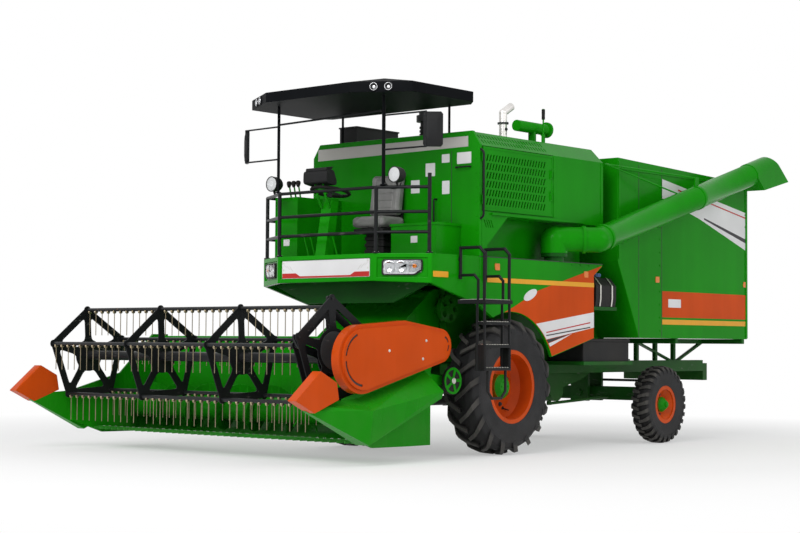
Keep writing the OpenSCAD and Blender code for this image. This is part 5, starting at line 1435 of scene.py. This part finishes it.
class HARVESTER_OT_right_covers(bpy.types.Operator):
    """Louvred engine cover and bolted tank cover on the right wall"""
    bl_idname = "harvester.right_covers"
    bl_label = "Right wall covers"

    def execute(self, context):
        self.covers(-HALF)
        self.fasteners(-HALF)
        return {"FINISHED"}

    def covers(self, x):
        engine = Shape()
        engine.prism("x", rounded(rect(-0.40, 0.62, 2.36, 3.10), 0.04), x, x - 0.008)
        louvre = ((0.007, 0.0), (0.026, 0.004), (0.024, 0.010), (0.007, 0.034))
        for k in range(11):
            z = 2.49 + 0.048 * k
            engine.rings([[(x - out, y, z + up) for out, up in louvre] for y in (-0.30, 0.52)])
        engine.done("right_engine_cover", "green", bevel=0.002)
        tank = Shape()
        tank.prism("x", rounded(rect(0.98, 1.46, 2.46, 2.86), 0.05), x, x - 0.006)
        tank.prism("x", rounded(rect(1.05, 1.39, 2.53, 2.79), 0.03), x - 0.006, x - 0.012)
        tank.done("right_tank_cover", "green", bevel=0.002)

    def fasteners(self, x):
        """Hinges, latches, edge bolts and the pull handle."""
        fasteners = Shape()
        for z in (2.50, 2.96):
            fasteners.tube([(x - 0.012, -0.412, z - 0.05), (x - 0.012, -0.412, z + 0.05)], 0.011, 14)
            latch = rounded(rect(0.555, 0.605, z - 0.02, z + 0.02), 0.008)
            fasteners.prism("x", latch, x - 0.008, x - 0.016)
            fasteners.bolt((x - 0.016, 0.58, z), (-1, 0, 0), 0.010)
        for y, z in along_cover(1.015, 1.425, 2.495, 2.825):
            fasteners.bolt((x - 0.006, y, z), (-1, 0, 0), 0.008)
        fasteners.done("right_cover_fasteners", "green")
        grip = Shape()
        grip.tube([(x - 0.008, 0.45, 3.02), (x - 0.05, 0.45, 3.03), (x - 0.05, 0.20, 3.03),
                   (x - 0.008, 0.20, 3.02)], 0.009, 12, bend=0.025)
        grip.done("right_cover_handle", "black")


def along_cover(y0, y1, z0, z1):
    """Bolt places round a cover's edge."""
    return [(y0 + (y1 - y0) * k / 3, z) for k in range(4) for z in (z0, z1)] + [
        (y, (z0 + z1) / 2) for y in (y0, y1)]


class HARVESTER_OT_wheel_fittings(bpy.types.Operator):
    """Wheel bolts, valve stems and hub details"""
    bl_idname = "harvester.wheel_fittings"
    bl_label = "Wheel fittings"

    def execute(self, context):
        for place in ("front_left", "front_right", "rear_left", "rear_right"):
            s = 1 if "left" in place else -1
            front = place.startswith("front")
            c = centre(place + "_tyre") - SHIFT
            disc = Vector((c.x + s * (-0.038 if front else 0.006), c.y, centre(place + "_rim").z))
            self.bolts(place, s, front, disc)
            self.valve_stem(place, s, front, disc)
            self.hub_cap(place, s, front, disc)
        return {"FINISHED"}

    def bolts(self, place, s, front, disc):
        n = sizes().wheel_bolts if front else 6
        ring, head = (0.205, 0.017) if front else (0.118, 0.012)
        bolts = Shape()
        for u, v in circle(ring, n, 0.5):
            bolts.bolt((disc.x, disc.y + u, disc.z + v), (s, 0, 0), head, 1.3 * head)
        bolts.done(place + "_wheel_bolts", "dark_steel", place + "_wheel")

    def valve_stem(self, place, s, front, disc):
        stem = Shape()
        if front:
            p = disc + Vector((0, 0.13, -0.235))
            stem.lathe([(0.020, 0.0), (0.020, 0.002), (0.013, 0.003)], facing(p, (s, 0, 0)), 20)
            bend, tip = Vector((s * 0.03, 0.012, -0.01)), Vector((s * 0.06, 0.03, -0.02))
            stem.tube([p, p + bend, p + tip], 0.006, 10, bend=0.01)
        else:
            p = disc + Vector((0, 0.145, -0.06))
            stem.tube([p, p + Vector((s * 0.04, 0.004, -0.002))], 0.005, 10)
        stem.done(place + "_valve_stem", "grip", place + "_wheel")

    def hub_cap(self, place, s, front, disc):
        cap = Shape()
        out = disc.x + s * (0.13 if front else 0.10)
        if front:
            for u, v in circle(0.055, 6):
                cap.bolt((out, disc.y + u, disc.z + v), (s, 0, 0), 0.008)
        else:
            cap.lathe([(0.034, 0), (0.034, 0.012), (0.026, 0.018), (0, 0.02)],
                      facing((out, disc.y, disc.z), (s, 0, 0)), 24)
        cap.done(place + "_hub_cap", "green", place + "_wheel")


CLASSES += [HARVESTER_OT_grab_rails, HARVESTER_OT_panel_joints, HARVESTER_OT_right_covers,
            HARVESTER_OT_wheel_fittings]


class HARVESTER_OT_header_fittings(bpy.types.Operator):
    """Bolts, back ribs, guard slots, knife rivets and drive parts of the header"""
    bl_idname = "harvester.header_fittings"
    bl_label = "Header fittings"

    def execute(self, context):
        x0, x1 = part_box("header_trough")[0].x - SHIFT.x, 1.15
        self.back_sheet(x0, x1)
        self.guard(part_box("reel_guard")[1].x - SHIFT.x)
        self.knife_rivets(x0, x1)
        self.drive_pulley()
        return {"FINISHED"}

    def back_sheet(self, x0, x1):
        bolts = Shape()
        for p in along_edge((x0 + 0.15, -1.352, 1.20), (x1 - 0.2, -1.352, 1.20), 0.3):
            bolts.bolt(p, (0, -1, 0), 0.009)
        bolts.done("header_bolts", "header_green", "header")
        ribs = Shape()
        section = ((-0.04, 0), (-0.022, 0.018), (0.022, 0.018), (0.04, 0))
        for x in (-2.70, -2.30, -1.90, -1.50, -1.10, -0.70, 0.70):
            ribs.prism("z", [(x + u, BACK_Y + v) for u, v in section], 0.54, 1.172)
        ribs.done("header_back_ribs", "header_green", "header", bevel=0.004)

    def guard(self, x):
        """Bolts, and dark plates in the curved slots of the reel drive's guard, painting the shade inside the
        slots.
        """
        guard = Shape()
        for y, z in ((-2.05, 1.10), (-1.55, 1.02), (-1.50, 1.20)):
            guard.bolt((x, y, z), (1, 0, 0), 0.010)
        guard.done("guard_bolts", "zinc", "reel_frame")
        # Dark plates inside the curved slots: painted shade
        slots = Shape()
        for y, z, r, a0, a1 in ((REEL_Y, REEL_Z, 0.262, 112, 172), (REEL_Y, REEL_Z, 0.262, 184, 266),
                                (-1.25, 1.15, 0.108, 20, 66), (-1.25, 1.15, 0.108, -32, 4)):
            turns = [math.radians(a0 + (a1 - a0) * k / 16) for k in range(17)]
            edge = [(r, a) for a in turns] + [(r - 0.022, a) for a in turns[::-1]]
            outline = [(y + q * math.cos(a), z + q * math.sin(a)) for q, a in edge]
            slots.prism("x", outline, x - 0.0125, x - 0.008)
        slots.done("guard_slot_painted_shade", "dark_line", "reel_frame")

    def knife_rivets(self, x0, x1):
        rivets = Shape()
        rivet_y, guard_pitch = -2.148, 0.1
        for k in range(int((x1 - x0 - 0.08) / guard_pitch)):
            x = x0 + 0.03 + guard_pitch * (k + 0.5)
            for off in (-0.012, 0.012):
                rivets.lathe([(0.007, 0.231), (0.006, 0.235), (0.0, 0.236)],
                             Matrix.Translation((x + off, rivet_y, 0)), 8)
        rivets.done("knife_rivets", "steel", "header")

    def drive_pulley(self):
        belt = Shape()
        m = facing((1.188, -0.975, 0.795), (1, 0, 0))
        belt.lathe([(0.137, -0.013), (0.141, -0.013), (0.141, 0.013), (0.137, 0.013)], m, 48)
        belt.done("drive_belt_wrap", "grip", "header")
        hub = Shape()
        hub.lathe([(0.03, 0.022), (0.03, 0.03), (0.018, 0.034), (0, 0.034)], m, 24)
        hub.done("drive_pulley_nut", "zinc", "header")


class HARVESTER_OT_reel_fittings(bpy.types.Operator):
    """Bearing housing, tube collars and tine springs of the reel"""
    bl_idname = "harvester.reel_fittings"
    bl_label = "Reel fittings"

    def execute(self, context):
        self.bearing()
        self.collars()
        for k, body in enumerate(("bat_one", "bat_two", "bat_three", "bat_four", "bat_five")):
            self.coils("bat_%d" % (k + 1), body)
        return {"FINISHED"}

    def bearing(self):
        """Housing on both faces of the right reel arm."""
        arm_out, arm_thick = -2.903, 0.04
        bearing = Shape()
        for x, s in ((arm_out + arm_thick, 1), (arm_out, -1)):
            m = facing((x, REEL_Y, REEL_Z), (s, 0, 0))
            bearing.lathe([(0.056, 0), (0.056, 0.008), (0.048, 0.012), (0.048, 0.016), (0.034, 0.018)], m, 28)
        for u, v in circle(0.046, 4, 0.5):
            bearing.bolt((arm_out, REEL_Y + u, REEL_Z + v), (-1, 0, 0), 0.007)
        bearing.done("reel_bearing", "dark_steel", "reel_frame")

    def collars(self):
        collars = Shape()
        for x in (-2.80, -1.62, -0.40, 0.82):
            m = facing((x, REEL_Y, REEL_Z), (1, 0, 0))
            collars.lathe([(0.051, -0.05), (0.060, -0.05), (0.060, -0.03), (0.051, -0.03)], m, 28)
        collars.done("reel_tube_collars", "reel_black", "reel")

    def coils(self, node, body):
        """Spring windings at the top of each tine."""
        lo, hi = (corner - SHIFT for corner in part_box(node))
        first, last = lo.x + 0.012, hi.x - 0.122
        step = (last - first) / 3
        y, z = hi.y - 0.030, hi.z - BAT_LINK_TOP - 0.024
        springs = Shape()
        for k in range(int((last - first) / TINE_PITCH)):
            x = first + TINE_PITCH * (k + 0.5)
            if min(abs(x - first - j * step - 0.006) for j in range(4)) > 0.042:
                turns = [math.pi * t / 6 for t in range(37)]
                springs.tube([(x - 0.0135 + 0.0045 * a / math.pi, y + 0.0165 * math.sin(a),
                               z + 0.0165 * math.cos(a)) for a in turns], 0.0034, 6)
        springs.done(node + "_spring_coils", "tine", body, smooth=60)


class HARVESTER_OT_top_fittings(bpy.types.Operator):
    """Exhaust clamp, lever grip, filler flange bolts, and the additive tank's cap and straps"""
    bl_idname = "harvester.top_fittings"
    bl_label = "Top and side fittings"

    def execute(self, context):
        self.exhaust_clamp()
        self.lever_grip()
        self.filler_bolts()
        self.additive_cap()
        self.additive_straps()
        return {"FINISHED"}

    def exhaust_clamp(self):
        clamp = Shape()
        x, y, z = 0.75, 0.425, 3.598
        clamp.lathe([(0.0585, -0.009), (0.062, -0.009), (0.062, 0.009), (0.0585, 0.009)],
                    Matrix.Translation((x, y, z)), 36)
        clamp.bolt((x + 0.06, y, z), (1, 0, 0), 0.009, 0.012)
        clamp.bolt((x + 0.044, y, z - 0.068), (1, 0, 0), 0.014, 0.012)
        clamp.done("exhaust_clamp", "dark_steel")

    def lever_grip(self):
        grip = Shape()
        grip.lathe([(0.0175, 3.655), (0.019, 3.665), (0.0185, 3.70), (0.0195, 3.735), (0.019, 3.765),
                    (0.012, 3.773), (0, 3.774)], Matrix.Translation((1.03, 0.79, 0)), 20)
        grip.done("tank_lever_grip", "grip")

    def filler_bolts(self):
        ring = Shape()
        for u, v in circle(0.075, 8):
            ring.bolt((0.90 + u, 1.04, 3.57 + v), (0, 1, 0), 0.008)
        ring.done("filler_flange_bolts", "green")

    def additive_cap(self):
        cap = Shape()
        m = Matrix.Translation((HALF - 0.135, 1.77, 1.965))
        cap.lathe([(0.046, -0.02), (0.048, -0.015), (0.048, 0.012), (0.042, 0.02), (0.0, 0.022)], m, 28)
        for u, v in circle(0.0475, 12):
            cap.lathe([(0.005, -0.014), (0.005, 0.012)], m @ Matrix.Translation((u, v, 0)), 8)
        cap.done("additive_cap", "cap_blue")

    def additive_straps(self):
        straps = Shape()
        x = HALF + 0.0005
        line = [(HALF - 0.012, 1.605), (x, 1.69), (x, 1.842), (HALF - 0.082, 1.9355)]
        outer = [(p + 0.002, q + 0.001) for p, q in line[::-1]]
        for y in (1.65, 1.88):
            straps.prism("y", line + outer, y + 0.001, y + 0.025)
        straps.done("additive_straps", "zinc")


class HARVESTER_PT_sidebar(bpy.types.Panel):
    """Sizes, colours and makers of the harvester's looks"""
    bl_idname = "HARVESTER_PT_sidebar"
    bl_label = "Combine harvester"
    bl_space_type = "VIEW_3D"
    bl_region_type = "UI"
    bl_category = "Harvester"

    def draw(self, context):
        scene = context.scene
        for group in (scene.harvester_paint, scene.harvester_sizes, scene.harvester_stage):
            box = self.layout.box()
            for name in group.__annotations__:
                box.prop(group, name)
        for cls in CLASSES:
            if issubclass(cls, bpy.types.Operator):
                self.layout.operator(cls.bl_idname)


CLASSES += [HARVESTER_OT_header_fittings, HARVESTER_OT_reel_fittings, HARVESTER_OT_top_fittings,
            HARVESTER_PT_sidebar]


def register():
    for cls in CLASSES:
        bpy.utils.register_class(cls)
    bpy.types.Scene.harvester_paint = PointerProperty(type=HarvesterPaint)
    bpy.types.Scene.harvester_sizes = PointerProperty(type=HarvesterSizes)
    bpy.types.Scene.harvester_stage = PointerProperty(type=HarvesterStage)


def unregister():
    for name in ("harvester_paint", "harvester_sizes", "harvester_stage"):
        delattr(bpy.types.Scene, name)
    for cls in reversed(CLASSES):
        bpy.utils.unregister_class(cls)


def main():
    register()
    bpy.ops.harvester.stage()
    bpy.ops.harvester.node_finishes()
    bpy.ops.harvester.side_colours()
    bpy.ops.harvester.fascia_trim()
    bpy.ops.harvester.headlamps()
    bpy.ops.harvester.round_lamps()
    bpy.ops.harvester.seat()
    bpy.ops.harvester.controls()
    bpy.ops.harvester.mirror_glass()
    bpy.ops.harvester.grab_rails()
    bpy.ops.harvester.panel_joints()
    bpy.ops.harvester.right_covers()
    bpy.ops.harvester.wheel_fittings()
    bpy.ops.harvester.header_fittings()
    bpy.ops.harvester.reel_fittings()
    bpy.ops.harvester.top_fittings()


if __name__ == "__main__":
    main()
